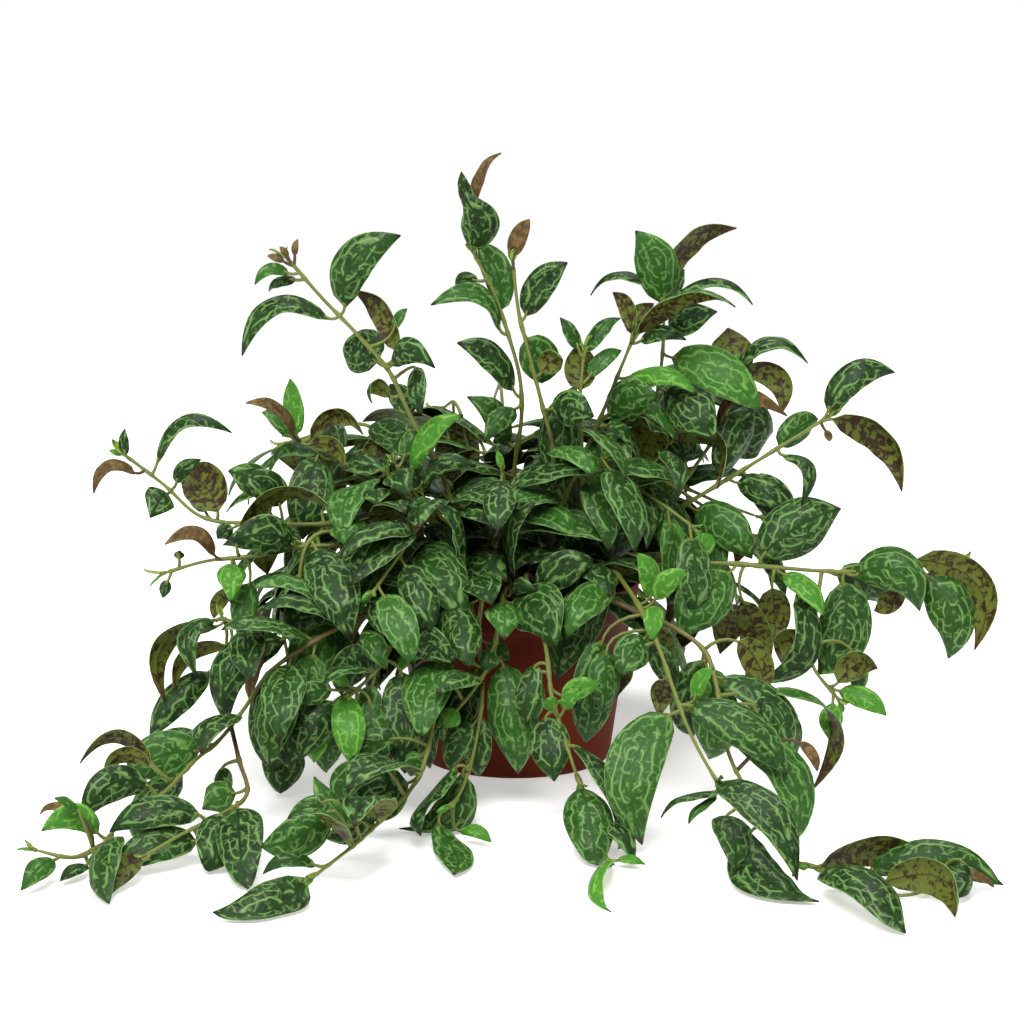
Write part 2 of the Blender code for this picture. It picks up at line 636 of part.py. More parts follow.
def tube(line, first_radius, last_radius, sides, extra=0.0):
    """Vertices and faces of a closed tube along a line, rounded off by its taper."""
    verts, faces = [], []
    across = Vector((0, 1, 0)) if abs((line[1] - line[0]).normalized().y) < 0.9 else Vector((1, 0, 0))
    for k, point in enumerate(line):
        run = (line[min(k + 1, len(line) - 1)] - line[max(k - 1, 0)]).normalized()
        across = (across - run * across.dot(run)).normalized()
        over = run.cross(across)
        radius = first_radius + (last_radius - first_radius) * k / (len(line) - 1) + extra
        for side in range(sides):
            turn = math.tau * side / sides
            verts.append(point + across * (radius * math.cos(turn)) + over * (radius * math.sin(turn)))
    for k in range(len(line) - 1):
        for side in range(sides):
            a, b = k * sides + side, k * sides + (side + 1) % sides
            faces += [(a, b, b + sides), (a, b + sides, a + sides)]
    last = (len(line) - 1) * sides
    faces += [(0, side + 1, side) for side in range(1, sides - 1)]
    faces += [(last, last + side, last + side + 1) for side in range(1, sides - 1)]
    return verts, faces


def blade_shape(t):
    """Half width of a leaf as a share of its widest, at t along the blade: full, with a drawn-out tip."""
    return abs(math.sin(math.pi * t**BLADE_SHIFT)) ** (BLADE_FULLNESS + BLADE_POINT * t**6)


def arch_rise(chord, face, arch, view=None):
    """Arch of a blade at its middle, as a vector for a chord of length 1.

    It is partly to the blade's face and partly up, or down where the arch is negative. With a view
    direction, the up part lies square to that, so the blade is seen to bend.
    """
    way = chord.normalized()
    up = Vector((0, 0, 1)) - way * way.z
    up *= min(1.0, UP_GAIN * up.length) / max(up.length, UP_LEAST)
    if view:
        aside = way.cross(view).normalized()
        up = aside if aside.z > 0 else -aside
    hand = 1 if arch > 0 else -1
    return (up * (ARCH_UP * hand) + face * (1 - ARCH_UP)).normalized() * abs(arch)


def blade_row(leaf, t):
    """Midrib point, side direction and top direction at t, from 0 at the blade's foot to 1 at its tip."""
    chord = leaf.tip - leaf.base
    rise = leaf.rise * chord.length
    point = leaf.base + chord * t + rise * (4 * t * (1 - t))
    run = (chord + rise * (4 * (1 - 2 * t))).normalized()
    side = run.cross(leaf.face).normalized()
    point.z = lifted(point.z, abs(side.z) * leaf.width / 2 * blade_shape(t))
    return point, side, side.cross(run)


def lifted(height, room=0.0):
    """Height kept above the resting height by the room needed, with a soft start."""
    lowest = LOWEST + room
    if height > lowest + LIFT_SOFTNESS:
        return height
    return lowest + LIFT_SOFTNESS * math.exp((height - lowest) / LIFT_SOFTNESS - 1)


def blade_edge(leaf, t, hand):
    """Edge point of the blade at t on one side, 1 or -1. The blade folds up from its midrib."""
    point, side, top = blade_row(leaf, t)
    half = max(leaf.width / 2 * blade_shape(t), PETIOLE_RADIUS)
    edge = point + side * (half * hand) + top * (half * LEAF_FOLD)
    edge.z = lifted(edge.z)
    return edge


def petiole_frame(leaf, side):
    """Side and top directions at the petiole's end, halfway between the petiole's run and the blade's."""
    run = (leaf.base - leaf.root).normalized() + (leaf.tip - leaf.base).normalized()
    run = (run + leaf.rise).normalized()
    side = (side - run * side.dot(run)).normalized()
    return side, side.cross(run)


def leaf_solid(leaf, extra=0.0, blade_only=False):
    """Vertices and faces of one leaf: a petiole out of the stem, then a blade thickest at its midrib."""
    verts = [leaf.root.copy()] if not blade_only else [blade_row(leaf, 0.06)[0]]
    rows = leaf.rows if not blade_only else leaf.rows[1:]
    for t in rows:
        point, side, top = blade_row(leaf, t)
        left, right = blade_edge(leaf, t, 1), blade_edge(leaf, t, -1)
        low = point - top * (LEAF_THICK + extra)
        if t == 0:
            side, top = petiole_frame(leaf, side)
            left = point + (side + top * PETIOLE_FLAT) * PETIOLE_RADIUS
            right = point - (side - top * PETIOLE_FLAT) * PETIOLE_RADIUS
            low = point - top * (PETIOLE_RADIUS + extra)
        spread, rise = side * extra, top * extra
        verts += [left + spread + rise, right - spread + rise, low]
    verts.append(leaf.tip + Vector((0, 0, lifted(leaf.tip.z) - leaf.tip.z)))
    last = len(verts) - 1
    faces = [(0, 2, 1), (0, 3, 2), (0, 1, 3)]
    for row in range(len(rows) - 1):
        left, right, low = range(1 + row * 3, 4 + row * 3)
        faces += [(left, right, right + 3), (left, right + 3, left + 3)]
        faces += [(right, low, right + 3), (low, low + 3, right + 3)]
        faces += [(low, left, left + 3), (low, left + 3, low + 3)]
    faces += [(last, last - 3, last - 2), (last, last - 2, last - 1), (last, last - 1, last - 3)]
    return verts, [face[::-1] for face in faces]


class Room:
    """Everything placed so far, to keep the next stem or leaf clear of it."""

    def __init__(self):
        self.taken = []

    def add(self, verts, faces, owner):
        self.taken.append((box_of(verts), BVHTree.FromPolygons(verts, faces), owner))

    def free(self, verts, faces, ignored=()):
        low, high = box_of(verts)
        tree = None
        for (other_low, other_high), other, owner in self.taken:
            if owner in ignored:
                continue
            if any(low[k] > other_high[k] or high[k] < other_low[k] for k in range(3)):
                continue
            tree = tree or BVHTree.FromPolygons(verts, faces)
            if tree.overlap(other):
                return False
        return True


def box_of(verts):
    """Lowest and highest corner of some points."""
    return [min(v[k] for v in verts) for k in range(3)], [max(v[k] for v in verts) for k in range(3)]


def root_spots(count):
    """Even spots for the stems' roots in the soil."""
    turn = math.pi * (3 - math.sqrt(5))
    spots = []
    for k in range(count):
        radius = ROOT_RING_RADIUS * math.sqrt((k + 0.5) / count)
        spots.append(Vector((radius * math.cos(turn * k), radius * math.sin(turn * k), 0)))
    return spots


def take_spot(spots, wanted):
    """Remove and return the free spot nearest to where a stem leaves the pot."""
    flat = Vector((wanted.x, wanted.y, 0))
    if flat.length > ROOT_RING_RADIUS * 0.8:
        flat *= ROOT_RING_RADIUS * 0.8 / flat.length
    best = min(spots, key=lambda spot: (spot - flat).length)
    spots.remove(best)
    return best


def rooted(spot, route):
    """A stem's route with its sunk, upright foot in front."""
    foot = spot + Vector((0, 0, SOIL_TOP - STEM_SUNK))
    return [foot, spot + Vector((0, 0, SOIL_TOP + FOOT_RISE))] + route


def line_is_free(line, room, name, radius=STEM_ROOT_RADIUS):
    """Whether a stem along this line keeps clear of the pot and of what is placed."""
    start = 1 if line[0].z < SOIL_TOP and math.hypot(line[0].x, line[0].y) < ROOT_RING_RADIUS else 0
    for a, b in zip(line[start:], line[start + 1 :]):
        if not all(clear_of_pot(a.lerp(b, t), radius + CLEAR) for t in (0.25, 0.5, 0.75, 1.0)):
            return False
    if not room.free(*tube(line[start:], radius, STEM_END_RADIUS, STEM_SIDES, CLEAR), (name,)):
        return False
    return room.free(*tube(line, radius, STEM_END_RADIUS, STEM_SIDES, CLEAR), (name, "pot"))


def clear_line(make_points, room, name, seed):
    """Line for a stem: its points are shifted a little, by seeded draws, until it is free."""
    draw = random.Random(seed)
    for attempt in range(STEM_TRIES):
        amount = STEM_SHIFT_STEP * attempt
        points = make_points(draw, amount)
        if points[0].z < SOIL_TOP and math.hypot(points[0].x, points[0].y) < ROOT_RING_RADIUS:
            line = points[:1] + smooth_line(points[1:], STEM_STEP, points[0])
        else:
            line = smooth_line(points, STEM_STEP)
        if line_is_free(line, room, name):
            return line
    print("no free line for", name)
    return None


def drawn_points(route, spot=None):
    """Maker of a drawn stem's points, which shifts them along their sight lines only."""

    def make(draw, amount):
        points = []
        for index, (across, down, near) in enumerate(route):
            fixed = spot is None and index == 0
            shift = 0 if fixed else draw.uniform(-amount, amount) / MM
            points.append(place(across, down, near + shift))
        return rooted(spot, points) if spot else points

    return make


def grown_points(spot, angle, reach, rise, end):
    """Maker of a grown stem's points: out over the rim in an arc, to its end height."""
    way = Vector((math.cos(angle), math.sin(angle), 0))

    def make(draw, amount):
        points = []
        start = math.hypot(spot.x, spot.y)
        for t in (0.25, 0.5, 0.75, 1.0):
            out = start + (reach - start) * t
            bow = math.sin(math.pi * min(t * BOW_SPREAD, BOW_END))
            height = SOIL_TOP + BOW_FOOT + rise * bow + (end - SOIL_TOP) * t**2
            if rise > end - SOIL_TOP > UPRIGHT_FROM:
                height = SOIL_TOP + BOW_FOOT + (end - SOIL_TOP) * math.sin(t * math.pi / 2)
            wobble = Vector([draw.uniform(-amount, amount) for _ in range(3)])
            point = way * out + Vector((0, 0, max(height, LOWEST + FLOOR_GAP))) + wobble
            points.append(point)
        return rooted(spot, points)

    return make


def is_above_soil(spot, least):
    """Whether a spot of a stem is out of the pot, or at least so high above its soil."""
    return spot.z > SOIL_TOP + least or math.hypot(spot.x, spot.y) > POT_MOUTH_RADIUS


def nearest_on(lines, point):
    """Point of the node's lines that lies nearest in the front drawing, and then in depth."""

    def seen_distance(spot):
        ahead = (point - EYE).normalized()
        offset = spot - EYE
        return (offset - ahead * offset.dot(ahead)).length + DEPTH_SHARE * (spot - point).length

    spots = []
    for line in lines:
        inner = [spot for spot in line if is_above_soil(spot, FOOT_CLEAR)]
        for a, b in zip(inner, inner[1:]):
            spots += [a.lerp(b, k / SPOTS_BETWEEN) for k in range(SPOTS_BETWEEN)]
    return min(spots, key=seen_distance)


def face_toward(chord, mid, seen, width, under):
    """Direction of a drawn leaf's top, turned about its chord until its seen width fits."""
    way = chord.normalized()
    view = (EYE - mid).normalized() * (-1 if under else 1)
    flat = (view - way * view.dot(way)).normalized()
    roll = math.acos(min(1.0, seen / width))
    outward = Vector((mid.x, mid.y, 0)).normalized() * DRAWN_OUTWARD + Vector((0, 0, 1))
    choices = [Matrix.Rotation(hand * roll, 3, way) @ flat for hand in (1, -1)]
    return max(choices, key=lambda face: face.dot(outward))


def drawn_leaf(entry, lines, draw, attempt):
    """A leaf of the drawing. Later attempts move its tip in depth, then turn it a little."""
    kind, base_across, base_down, tip_across, tip_down, seen, lean, arch = entry
    foot = nearest_on(lines, place(base_across, base_down, FIRST_NEAR))
    foot = nearest_on(lines, place(base_across, base_down, -foot.y / MM))
    near = -foot.y / MM
    slack = min(attempt, SLACK_TRIES) * SLACK_STEP
    base = place(base_across, base_down, near + BASE_NEARER + draw.uniform(-0.25, 0.25) * slack)
    drift = DRIFT_STEP * max(0, attempt - DRIFT_FROM)
    tip = place(
        tip_across + draw.uniform(-drift, drift),
        tip_down + draw.uniform(-drift, drift),
        -base.y / MM + lean + draw.uniform(-slack, slack),
    )
    way = (tip - foot).normalized()
    if (base - foot).length < SHORTEST_PETIOLE or (base - foot).normalized().dot(way) < 0:
        base = foot + way * DRAWN_PETIOLE
    chord = tip - base
    seen_width = seen * SEEN_GAIN * sheet_scale(base.lerp(tip, 0.5))
    width = max(seen_width, (seen_width + chord.length * LEAF_ASPECT) / 2)
    face = face_toward(chord, base.lerp(tip, 0.5), seen_width, width, kind == "under")
    spin = Matrix.Rotation(draw.uniform(-SPIN_STEP, SPIN_STEP) * attempt, 3, chord.normalized())
    face = (spin @ face).normalized()
    view = base - EYE if abs(arch) >= SEEN_BEND else None
    rows = DRAWN_ROWS if seen > FULL_ROWS_FROM else GROWN_ROWS
    return Leaf(kind, foot, base, tip, face, width, arch_rise(chord, face, arch * ARCH_GAIN, view), rows)


def grown_leaf(foot, run, turn, size, draw, attempt):
    """A leaf that grows by rule at a node of its stem, out to one side and drooping."""
    side = Vector((0, 0, 1)).cross(run)
    side = side.normalized() if side.length > 0.1 else Vector((1, 0, 0))
    out = Matrix.Rotation(turn, 3, run) @ side
    loose = LOOSE_STEP * attempt
    wobble = Vector([draw.uniform(-loose, loose) for _ in range(3)])
    sag = Vector((0, 0, -SAG))
    way = (run * math.cos(PAIR_LEAN) + out * math.sin(PAIR_LEAN) + sag + wobble).normalized()
    base = foot + way * GROWN_PETIOLE
    length = size * (1 - SHRINK_STEP * attempt)
    tip = base + (way + sag * TIP_SAG).normalized() * length
    tip.z = max(tip.z, LOWEST)
    chord = tip - base
    outward = Vector((tip.x, tip.y, 0)).normalized()
    up = Vector((0, 0, 1)) + outward * LEAF_OUTWARD + out * LEAF_APART + wobble
    face = (up - chord * (up.dot(chord) / chord.length_squared)).normalized()
    width = length * LEAF_ASPECT * GROWN_FULLER
    return Leaf("top", foot, base, tip, face, width, arch_rise(chord, face, GROWN_ARCH), GROWN_ROWS)


def leaf_is_free(leaf, room, name):
    """Whether a leaf keeps clear of the pot, the surface and everything placed."""
    for t in PROBED:
        for point in (blade_edge(leaf, t, 1), blade_edge(leaf, t, -1), blade_row(leaf, t)[0]):
            if not clear_of_pot(point, LEAF_POT_GAP):
                return False
    if not room.free(*leaf_solid(leaf, CLEAR / 2, blade_only=True)):
        return False
    return room.free(*leaf_solid(leaf, CLEAR / 2), (name,))


def add_leaf(make, room, name, leaves, tries):
    """Keep the first free try for a leaf, if there is one."""
    for attempt in range(tries):
        leaf = make(attempt)
        if leaf_is_free(leaf, room, name):
            room.add(*leaf_solid(leaf), None)
            leaves.append(leaf)
            return True
    return False


def lay_out_stems(room):
    """Lines of all stems, the drawn ones first, each rooted at its own spot in the soil."""
    count = len(DRAWN_STEMS) + sum(group[1] for group in GROWN_STEMS)
    spots = root_spots(count)
    stems = []
    for index, (name, routes, _) in enumerate(DRAWN_STEMS):
        wanted = place(*routes[0][0])
        lines = [clear_line(drawn_points(routes[0], take_spot(spots, wanted)), room, name, index)]
        for twig_index, route in enumerate(routes[1:]):
            lines.append(clear_line(twig_points(lines, route), room, name, 100 + index * 5 + twig_index))
        keep_stem(stems, room, name, lines)
    draw = random.Random(GROWN_SEED)
    for name, number, first, last, reach, rise, end in GROWN_STEMS:
        for k in range(number):
            angle = math.radians(first + (last - first) * k / (number - 1) + draw.uniform(-8, 8))
            reach_now, rise_now = reach * draw.uniform(0.82, 1.15), rise * draw.uniform(0.85, 1.15)
            wanted = Vector((math.cos(angle), math.sin(angle), 0)) * ROOT_RING_RADIUS
            spot = take_spot(spots, wanted)
            make = grown_points(spot, angle, reach_now, rise_now, end * draw.uniform(0.9, 1.1))
            label = f"{name}_{k + 1}"
            keep_stem(stems, room, label, [clear_line(make, room, label, GROWN_SEED + len(stems))])
    return stems


def twig_points(lines, route):
    """Maker of a twig's points, from the nearest point of the stem that carries it."""
    start = nearest_on(lines, place(*route[0]))

    def make(draw, amount):
        points = [start]
        for across, down, near in route[1:]:
            points.append(place(across, down, near + draw.uniform(-amount, amount) / MM))
        return points

    return make


def keep_stem(stems, room, name, lines):
    """Add a stem whose lines were all found."""
    lines = [line for line in lines if line]
    if not lines:
        return
    for line in lines:
        room.add(*tube(line, STEM_ROOT_RADIUS, STEM_END_RADIUS, STEM_SIDES), name)
    stems.append(Stem(name, lines, []))


def lay_out_leaves(stems, room):
    """Leaves of the drawing first, then pairs along every stem where there is room for them."""
    by_name = {stem.name: stem for stem in stems}
    entries = [(by_name[name], entry) for name, _, drawn in DRAWN_STEMS for entry in drawn]
    entries.sort(key=lambda pair: -pair[1][5])
    for number, (stem, entry) in enumerate(entries):
        draw = random.Random(number)

        def make(attempt):
            return drawn_leaf(entry, stem.lines, draw, attempt)

        if not add_leaf(make, room, stem.name, stem.leaves, DRAWN_TRIES):
            print("left out", stem.name, entry)
    drawn_names = {name for name, _, _ in DRAWN_STEMS}
    for index, stem in enumerate(stems):
        draw = random.Random(GROWN_SEED + 7 * index)
        drawn = stem.name in drawn_names
        for line in stem.lines:
            grow_pairs(line, stem, room, draw, drawn)


def grow_pairs(line, stem, room, draw, behind_only):
    """Opposite pairs at even nodes along a line, each pair a quarter turn from the last."""
    length = sum((q - p).length for p, q in zip(line, line[1:]))
    pairs = int(length / PAIR_SPACING)
    for pair in range(1, pairs + 1):
        foot, run = point_along(line, length * pair / pairs * LAST_PAIR)
        if not is_above_soil(foot, FIRST_PAIR_RISE):
            continue
        quarter = math.pi / 2 * (pair % 2) + draw.uniform(-0.3, 0.3)
        taken = [leaf for leaf in stem.leaves if (leaf.root - foot).length < 0.011]
        for hand in range(2 - min(2, len(taken))):
            size = draw.uniform(*LEAF_LENGTH) * (END_LEAF_SIZE if pair == pairs else 1.0)
            turn = quarter + math.pi * hand
            leaf = grown_leaf(foot, run, turn, size, draw, 0)
            if not inside_outline(leaf) or (behind_only and not hidden_or_dense(leaf)):
                continue
            add_leaf(
                lambda attempt: grown_leaf(foot, run, turn, size, draw, attempt),
                room,
                stem.name,
                stem.leaves,
                GROWN_TRIES,
            )


def hidden_or_dense(leaf):
    """Whether a grown leaf points away from the viewer, or lies in the dense heart of the plant."""
    if (leaf.tip - leaf.root).y > 0.008:
        return True
    across, down = on_sheet(leaf.base.lerp(leaf.tip, 0.6))
    if SHOWN_POT[0] < across < SHOWN_POT[1] and down > SHOWN_POT[2]:
        return False
    return any(abs(across - c[0]) < c[2] and abs(down - c[1]) < c[3] for c in DENSE)


def inside_outline(leaf):
    """Whether a grown leaf stays inside the outline of the plant's mass, seen from the front."""
    for t in (0.3, 0.7, 1.0):
        across, down = on_sheet(leaf.base.lerp(leaf.tip, t))
        crossings = 0
        for (a, b), (c, d) in zip(OUTLINE, OUTLINE[1:] + OUTLINE[:1]):
            if (b > down) != (d > down) and across < a + (down - b) * (c - a) / (d - b):
                crossings += 1
        if crossings % 2 == 0:
            return False
    return True


def on_sheet(point):
    """Across and down of a point in the front drawing."""
    offset = point - EYE
    scale = SHEET_DISTANCE / offset.dot(EYE_AHEAD)
    return SHEET_CENTRE + offset.dot(EYE_RIGHT) * scale, SHEET_CENTRE - offset.dot(EYE_UP) * scale


def point_along(line, distance):
    """Point and direction at a distance along a line."""
    for p, q in zip(line, line[1:]):
        span = (q - p).length
        if distance <= span:
            return p.lerp(q, distance / span), (q - p).normalized()
        distance -= span
    return line[-1].copy(), (line[-1] - line[-2]).normalized()


def finish(name, colour, roughness):
    """Plain Principled material for one sub-part."""
    material = bpy.data.materials.new(name)
    material.use_nodes = True
    shader = material.node_tree.nodes["Principled BSDF"]
    shader.inputs["Base Color"].default_value = (*colour, 1)
    shader.inputs["Roughness"].default_value = roughness
    shader.inputs["Metallic"].default_value = 0.0
    return material


def mesh_object(name, verts, faces, origin=Vector()):
    """Object from vertices in world coordinates, with its origin at a point."""
    mesh = bpy.data.meshes.new(name)
    mesh.from_pydata([v - origin for v in verts], [], faces)
    mesh.update()
    thing = bpy.data.objects.new(name, mesh)
    thing.location = origin
    bpy.context.scene.collection.objects.link(thing)
    return thing


def turned(profile, sides):
    """Vertices and faces of a closed solid turned about Z from (radius, height) points, axis to axis."""
    verts, rings, faces = [], [], []
    for radius, height in profile:
        count = sides if radius > 0 else 1
        rings.append(range(len(verts), len(verts) + count))
        turns = [math.tau * k / sides for k in range(count)]
        verts += [Vector((radius * math.cos(a), radius * math.sin(a), height)) for a in turns]
    for lower, upper in zip(rings, rings[1:]):
        for k in range(sides):
            a, b = lower[k % len(lower)], lower[(k + 1) % len(lower)]
            c, d = upper[(k + 1) % len(upper)], upper[k % len(upper)]
            faces.append((a, c, d) if a == b else (a, b, c) if c == d else (a, b, c, d))
    return verts, faces


def apply_boolean(thing, others, operation):
    """Apply one Boolean of all the other objects, which are then removed.

    The exact solver goes first, and the manifold one takes over where that loses a piece.
    """
    group = bpy.data.collections.new("operands")
    bpy.context.scene.collection.children.link(group)
    for other in others:
        bpy.context.scene.collection.objects.unlink(other)
        group.objects.link(other)
    step = thing.modifiers.new("Join", "BOOLEAN")
    step.operation = operation
    step.operand_type = "COLLECTION"
    step.collection = group
    for solver in ("EXACT", "MANIFOLD"):
        step.solver = solver
        shape = thing.evaluated_get(bpy.context.evaluated_depsgraph_get())
        joined = bpy.data.meshes.new_from_object(shape)
        if operation == "DIFFERENCE" or is_one_body(joined):
            break
        print(thing.name, solver, "left pieces apart")
    thing.modifiers.remove(step)
    thing.data = joined
    for other in others:
        bpy.data.objects.remove(other, do_unlink=True)
    bpy.data.collections.remove(group)


def is_one_body(mesh):
    """Whether a joined mesh is closed and hangs together."""
    solid = bmesh.new()
    solid.from_mesh(mesh)
    whole = all(len(edge.link_faces) == 2 for edge in solid.edges)
    if whole:
        reached, waiting = set(), [solid.verts[:][0]]
        while waiting:
            vert = waiting.pop()
            if vert not in reached:
                reached.add(vert)
                waiting += [edge.other_vert(vert) for edge in vert.link_edges]
        whole = len(reached) == len(solid.verts)
    solid.free()
    return whole


def make_pot():
    """Tapered thin pot with a rim band, a small foot and drainage holes round its floor."""
    band = POT_HEIGHT - RIM_BAND_HEIGHT
    profile = [
        (0, 0),
        (POT_BASE_RADIUS - 0.001, 0),
        (POT_BASE_RADIUS, 0.001),
        (pot_outer_radius(band - 0.002), band - 0.002),
        (pot_outer_radius(band), band),
        (pot_outer_radius(POT_HEIGHT), POT_HEIGHT - 0.0008),
        (pot_outer_radius(POT_HEIGHT) - 0.0008, POT_HEIGHT),
        (POT_MOUTH_RADIUS - POT_WALL + 0.0005, POT_HEIGHT),
        (POT_MOUTH_RADIUS - POT_WALL, POT_HEIGHT - 0.0008),
        (POT_BASE_RADIUS - POT_WALL, POT_FLOOR),
        (0, POT_FLOOR),
    ]
    pot = mesh_object("pot", *turned(profile, POT_SIDES))
    holes = []
    for k in range(DRAIN_HOLES):
        turn = math.tau * (k + 0.5) / DRAIN_HOLES
        centre = Vector((DRAIN_RING_RADIUS * math.cos(turn), DRAIN_RING_RADIUS * math.sin(turn), -0.004))
        line = [centre, centre + Vector((0, 0, 0.012))]
        holes.append(mesh_object("hole", *tube(line, DRAIN_HOLE_RADIUS, DRAIN_HOLE_RADIUS, 6)))
    apply_boolean(pot, holes, "DIFFERENCE")
    pot.data.materials.append(finish("pot_plastic", (0.085, 0.014, 0.006), 0.38))
    return pot


def soil_radius(height):
    """Radius of the soil at a height, just inside the pot's wall."""
    wall = POT_BASE_RADIUS + (POT_MOUTH_RADIUS - POT_BASE_RADIUS) * height / POT_HEIGHT - POT_WALL
    return wall - SOIL_GAP * 2


def make_soil(stems):
    """Soil that fills the pot, slightly domed, with a plain hole for every stem."""
    bottom = POT_FLOOR + SOIL_GAP
    profile = [
        (0, bottom),
        (soil_radius(bottom) - 0.0006, bottom),
        (soil_radius(SOIL_TOP), SOIL_TOP),
        (soil_radius(SOIL_TOP) * 0.7, SOIL_TOP + SOIL_DOME * 0.6),
        (0, SOIL_TOP + SOIL_DOME * 0.6),
    ]
    soil = mesh_object("soil", *turned(profile, SOIL_SIDES))
    holes = []
    for stem in stems:
        foot = stem.lines[0][0]
        bottom_point = Vector((foot.x, foot.y, SOIL_TOP - STEM_HOLE_DEPTH))
        line = [bottom_point, bottom_point + Vector((0, 0, 0.04))]
        holes.append(mesh_object("hole", *tube(line, STEM_HOLE_RADIUS, STEM_HOLE_RADIUS, 4)))
    apply_boolean(soil, holes, "DIFFERENCE")
    soil.data.materials.append(finish("potting_soil", (0.03, 0.02, 0.013), 0.95))
    return soil


def make_stem(stem, material):
    """One leafy stem: a tapered tube with its twigs and leaves joined to it."""
    origin = stem.lines[0][0].copy()
    main = tube(stem.lines[0], STEM_ROOT_RADIUS, STEM_END_RADIUS, STEM_SIDES)
    thing = mesh_object(stem.name, *main, origin)
    others = []
    for line in stem.lines[1:]:
        others.append(mesh_object("twig", *tube(line, STEM_ROOT_RADIUS * 0.8, STEM_END_RADIUS, STEM_SIDES)))
    for leaf in stem.leaves:
        others.append(mesh_object("leaf", *leaf_solid(leaf)))
    apply_boolean(thing, others, "UNION")
    thing.data.materials.clear()
    thing.data.materials.append(material)
    return thing


def main():
    drop_existing()
    room = Room()
    room.add(*pot_and_soil(), "pot")
    stems = lay_out_stems(room)
    lay_out_leaves(stems, room)
    plant = bpy.data.objects.new("potted_plant", None)
    bpy.context.scene.collection.objects.link(plant)
    green = finish("marbled_leaf", (0.045, 0.16, 0.04), 0.42)
    parts = [make_pot(), make_soil(stems)]
    parts += [make_stem(stem, green) for stem in stems]
    for part in parts:
        part.parent = plant


main()
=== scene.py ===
"""Looks of the potted lipstick plant: marbled leaves in pairs, half-woody stems, potting mix and a pot.

Metres, +Z up, in the part's own frame. The stems and leaves are set out here by the same rules, from the
same front drawing and with the same seeds as the part's solids. Every blade, stalk and stem is then made
again as a fine surface. The front drawing is a sheet 1024 units wide, seen from one point before the plant.
A sheet point has `across` and `down` in sheet units, and `near`, its distance in millimetres before the
pot's axis.
"""

import math
import random
from collections import namedtuple

import bpy
import numpy as np
from mathutils import Matrix, Vector
from mathutils.bvhtree import BVHTree


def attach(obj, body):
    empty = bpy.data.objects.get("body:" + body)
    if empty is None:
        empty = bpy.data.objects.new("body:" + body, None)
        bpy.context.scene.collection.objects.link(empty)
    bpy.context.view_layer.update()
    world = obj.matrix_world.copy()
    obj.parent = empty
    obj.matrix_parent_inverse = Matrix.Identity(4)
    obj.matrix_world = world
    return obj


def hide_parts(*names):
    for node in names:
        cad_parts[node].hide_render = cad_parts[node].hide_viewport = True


MM = 0.001

# Pot
POT_HEIGHT = 0.116
POT_BASE_RADIUS = 0.060
POT_MOUTH_RADIUS = 0.0765
POT_WALL = 0.0022
POT_FLOOR = 0.0028
RIM_BAND_HEIGHT = 0.020
RIM_BAND_STEP = 0.0022
RIM_BAND_EDGE = 0.001
BAND_RUN_IN = 0.002
POT_SIDES = 36
DRAIN_HOLES = 6
DRAIN_HOLE_RADIUS = 0.0045
DRAIN_RING_RADIUS = 0.043

# Soil
SOIL_GAP = 0.0003
SOIL_TOP = 0.103
SOIL_DOME = 0.004
DOME_SHARE = 0.6
STEM_SUNK = 0.0194
FOOT_RISE = 0.007
ROOT_RING_RADIUS = 0.063
INNER_RING = 0.8

# Stems
STEM_ROOT_RADIUS = 0.0021
STEM_END_RADIUS = 0.0011
STEM_SIDES = 4
STEM_STEP = 0.029
FINE_STEPS = 12
CLEAR = 0.0006

# Leaves
LEAF_THICK = 0.0013
PETIOLE_FLAT = 0.6
PETIOLE_RADIUS = 0.0012
LEAF_FOLD = 0.07
LEAF_ASPECT = 0.46
ARCH_UP = 0.6
UP_GAIN = 2.2
UP_LEAST = 0.001
SEEN_BEND = 0.2
ARCH_GAIN = 1.3
SEEN_GAIN = 1.1
BLADE_SHIFT = 0.88
BLADE_FULLNESS = 0.52
BLADE_POINT = 0.38
POINT_POWER = 6
BLADE_FROM = 0.06
DRAWN_ROWS = (0.0, 0.2, 0.48, 0.78)
GROWN_ROWS = (0.0, 0.42)
LOWEST = 0.0022
LIFT_SOFTNESS = 0.004

# Front drawing
EYE = Vector((-0.002, -1.9225, 0.551))
EYE_PITCH = math.radians(11.6)
SHEET_CENTRE = 512
SHEET_DISTANCE = 3129
EYE_RIGHT = Vector((1, 0, 0))
EYE_UP = Vector((0, math.sin(EYE_PITCH), math.cos(EYE_PITCH)))
EYE_AHEAD = Vector((0, math.cos(EYE_PITCH), -math.sin(EYE_PITCH)))

Leaf = namedtuple("Leaf", "kind root base tip face width rise rows")
Stem = namedtuple("Stem", "name lines leaves")
Values = namedtuple("Values", "along across wide net mm_along mm_out contour own young dry")

# Fine blades: rows from foot to tip, columns from edge to edge, then how a blade bends
BLADE_ROWS = np.linspace(0, 1, 17) ** 0.92
BLADE_COLUMNS = np.array([-1, -0.93, -0.72, -0.45, -0.2, -0.05, 0.05, 0.2, 0.45, 0.72, 0.93, 1])
BLADE_THICK = 0.0008
BLADE_THINNING = 0.6
BLADE_END_HALF = 0.0004
ARCH_SHARE = 0.8
BLADE_FOLD = (0.05, 0.30)
FOLD_SOFTNESS = 0.1
DEAD_FOLD = 0.5
BLADE_DROOP = (0.20, 0.60)
BLADE_WAVE = 0.05
BLADE_WAVES = (1.5, 3.0)
WAVE_LAG = 1.1
NARROWING = 0.12
BLADE_TWIST = 0.35
TWIST_CENTRE = 0.3
TIP_CURL = (0.04, 0.20)
CURL_FROM = 0.7
MIDRIB_WIDTH = 0.0011
MIDRIB_GROOVE = 0.0001
MIDRIB_KEEL = 0.0005
MARBLING_MIDDLE = 0.56
